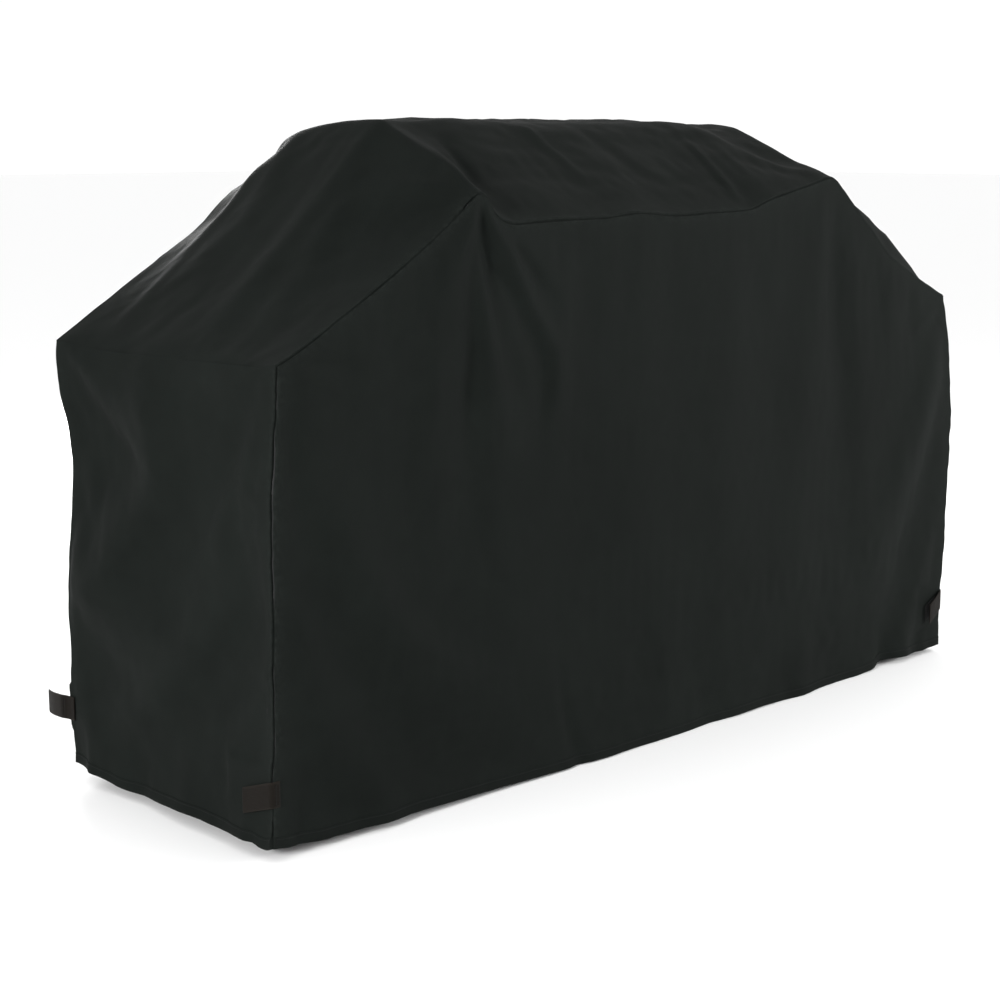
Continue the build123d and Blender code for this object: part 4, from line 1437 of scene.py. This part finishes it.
# the seam tubes take the cloth colour darkened to 0.8: painted shade at the bottom of the seam crease
seam_shaded_mat = coated_cloth("seam_cloth_painted_shade", tuple(c * 0.8 for c in CLOTH), uv=False, wear_and_edge_highlight=False, crease=1.2)
tape_mat = simple_fibre("binding_tape", (0.010, 0.010, 0.0105), 0.8, 700.0, 0.0002)
thread_mat = simple_fibre("thread", (0.0085, 0.0095, 0.009), 0.6, 2500.0, 0.0001, 0.12, 0.01)
web_mat = webbing_material("webbing", (0.0062, 0.0049, 0.0037))
hook_mat = simple_fibre("hook_tape", (0.008, 0.0078, 0.0075), 0.5, 900.0, 0.0001, 0.4, 0.0)
loop_mat = simple_fibre("loop_tape", (0.0078, 0.0079, 0.0077), 0.95, 1300.0, 0.0004, 0.08, 0.03)


def dress(o, mat, body="cover"):
    o.data.materials.clear()
    o.data.materials.append(mat)
    if body:
        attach(o, body)


for o in (front_cloth, back_cloth, wrap_cloth):
    dress(o, cloth_mat)
for o in (front_hem, back_hem, left_hem, right_hem):
    dress(o, hem_mat)
for o in (front_seam, back_seam):
    dress(o, seam_shaded_mat)
for o in (front_binding, back_binding):
    dress(o, tape_mat)
for o in thread:
    dress(o, thread_mat)

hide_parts("front_panel")
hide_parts("back_panel")
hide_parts("left_end_panel", "left_slope_panel", "top_panel", "right_slope_panel", "right_end_panel")
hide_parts("front_hem")
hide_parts("back_hem")
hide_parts("left_hem")
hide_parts("right_hem")
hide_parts("front_seam_binding")
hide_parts("back_seam_binding")



def area_of(o):
    o.data.calc_loop_triangles()
    return sum(p.area for p in o.data.polygons)


A_FRONT, A_BACK, A_WRAP = area_of(front_cloth), area_of(back_cloth), area_of(wrap_cloth)
print("CLOTH AREA", round(A_FRONT, 4), round(A_BACK, 4), round(A_WRAP, 4), "wrap length", round(arc(wrap[:, NR // 2])[-1] * MM, 3), round(arc(wrap[:, 0])[-1] * MM, 3))

for name, (tab, webbing, root, total) in tabs.items():
    dress(webbing, web_mat, None)
    a = tab.world(0, -6.5, tab.mid) * MM
    b = tab.world(6.5 * math.cos(math.radians(tab.open)), 6.5 * math.sin(math.radians(tab.open)), tab.mid) * MM
    b[2] = a[2]
    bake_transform(webbing)
    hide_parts(name + "_tab", name + "_tab_anchor")
    hooks = stud_pad(name + "_hooks", tab, root, total)
    dress(hooks, hook_mat, name + "_tab")
    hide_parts(name + "_hook_patch")
    loops = loop_pad(name + "_loops", tab)
    dress(loops, loop_mat)
    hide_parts(name + "_loop_patch")
    st = tab_stitching(tab, root)
    dress(st, thread_mat)

# ---------------------------------------------------------------------------
# floor, lights, camera
# ---------------------------------------------------------------------------
me = bpy.data.meshes.new("floor")
me.from_pydata([(-40, -40, 0), (40, -40, 0), (40, 40, 0), (-40, 40, 0)], [], [(0, 1, 2, 3)])
floor = link("floor", me)
fm, fnt, fb = new_material("pale_floor")
fb.inputs["Base Color"].default_value = (0.93, 0.93, 0.93, 1)
fb.inputs["Roughness"].default_value = 0.8
fb.inputs["Specular IOR Level"].default_value = 0.2
me.materials.append(fm)

world = bpy.data.worlds.new("studio")
bpy.context.scene.world = world
world.use_nodes = True
world.node_tree.nodes["Background"].inputs[0].default_value = (1, 1, 1, 1)
world.node_tree.nodes["Background"].inputs[1].default_value = 1.04
bpy.context.scene.view_settings.view_transform = "Standard"
bpy.context.scene.view_settings.look = "None"


def area(name, loc, target, size, power):
    d = bpy.data.lights.new(name, "AREA")
    d.shape = "RECTANGLE"
    d.size, d.size_y = size
    d.energy = power
    o = bpy.data.objects.new(name, d)
    bpy.context.scene.collection.objects.link(o)
    o.location = loc
    o.rotation_euler = (Vector(target) - Vector(loc)).to_track_quat("-Z", "Y").to_euler()
    return o


area("key", (-3.7, -1.2, 1.35), (-0.2, 0, 0.45), (0.7, 0.7), 112)
area("fill", (3.1, -3.0, 1.3), (0.2, 0, 0.5), (0.9, 0.9), 118)
area("back", (1.6, 3.8, 1.35), (0.2, 0, 0.5), (1.2, 1.2), 110)

cam_d = bpy.data.cameras.new("camera")
cam_d.sensor_width = 36.0
cam_d.lens = 71.143
cam_d.clip_end = 200
cam = bpy.data.objects.new("camera", cam_d)
bpy.context.scene.collection.objects.link(cam)
cam.location = (-2.29874, -2.20936 + CY * MM, 0.92586 + 0.016)
cam.rotation_euler = (math.radians(90 - 10.47), 0, math.radians(-44.66))
bpy.context.scene.camera = cam
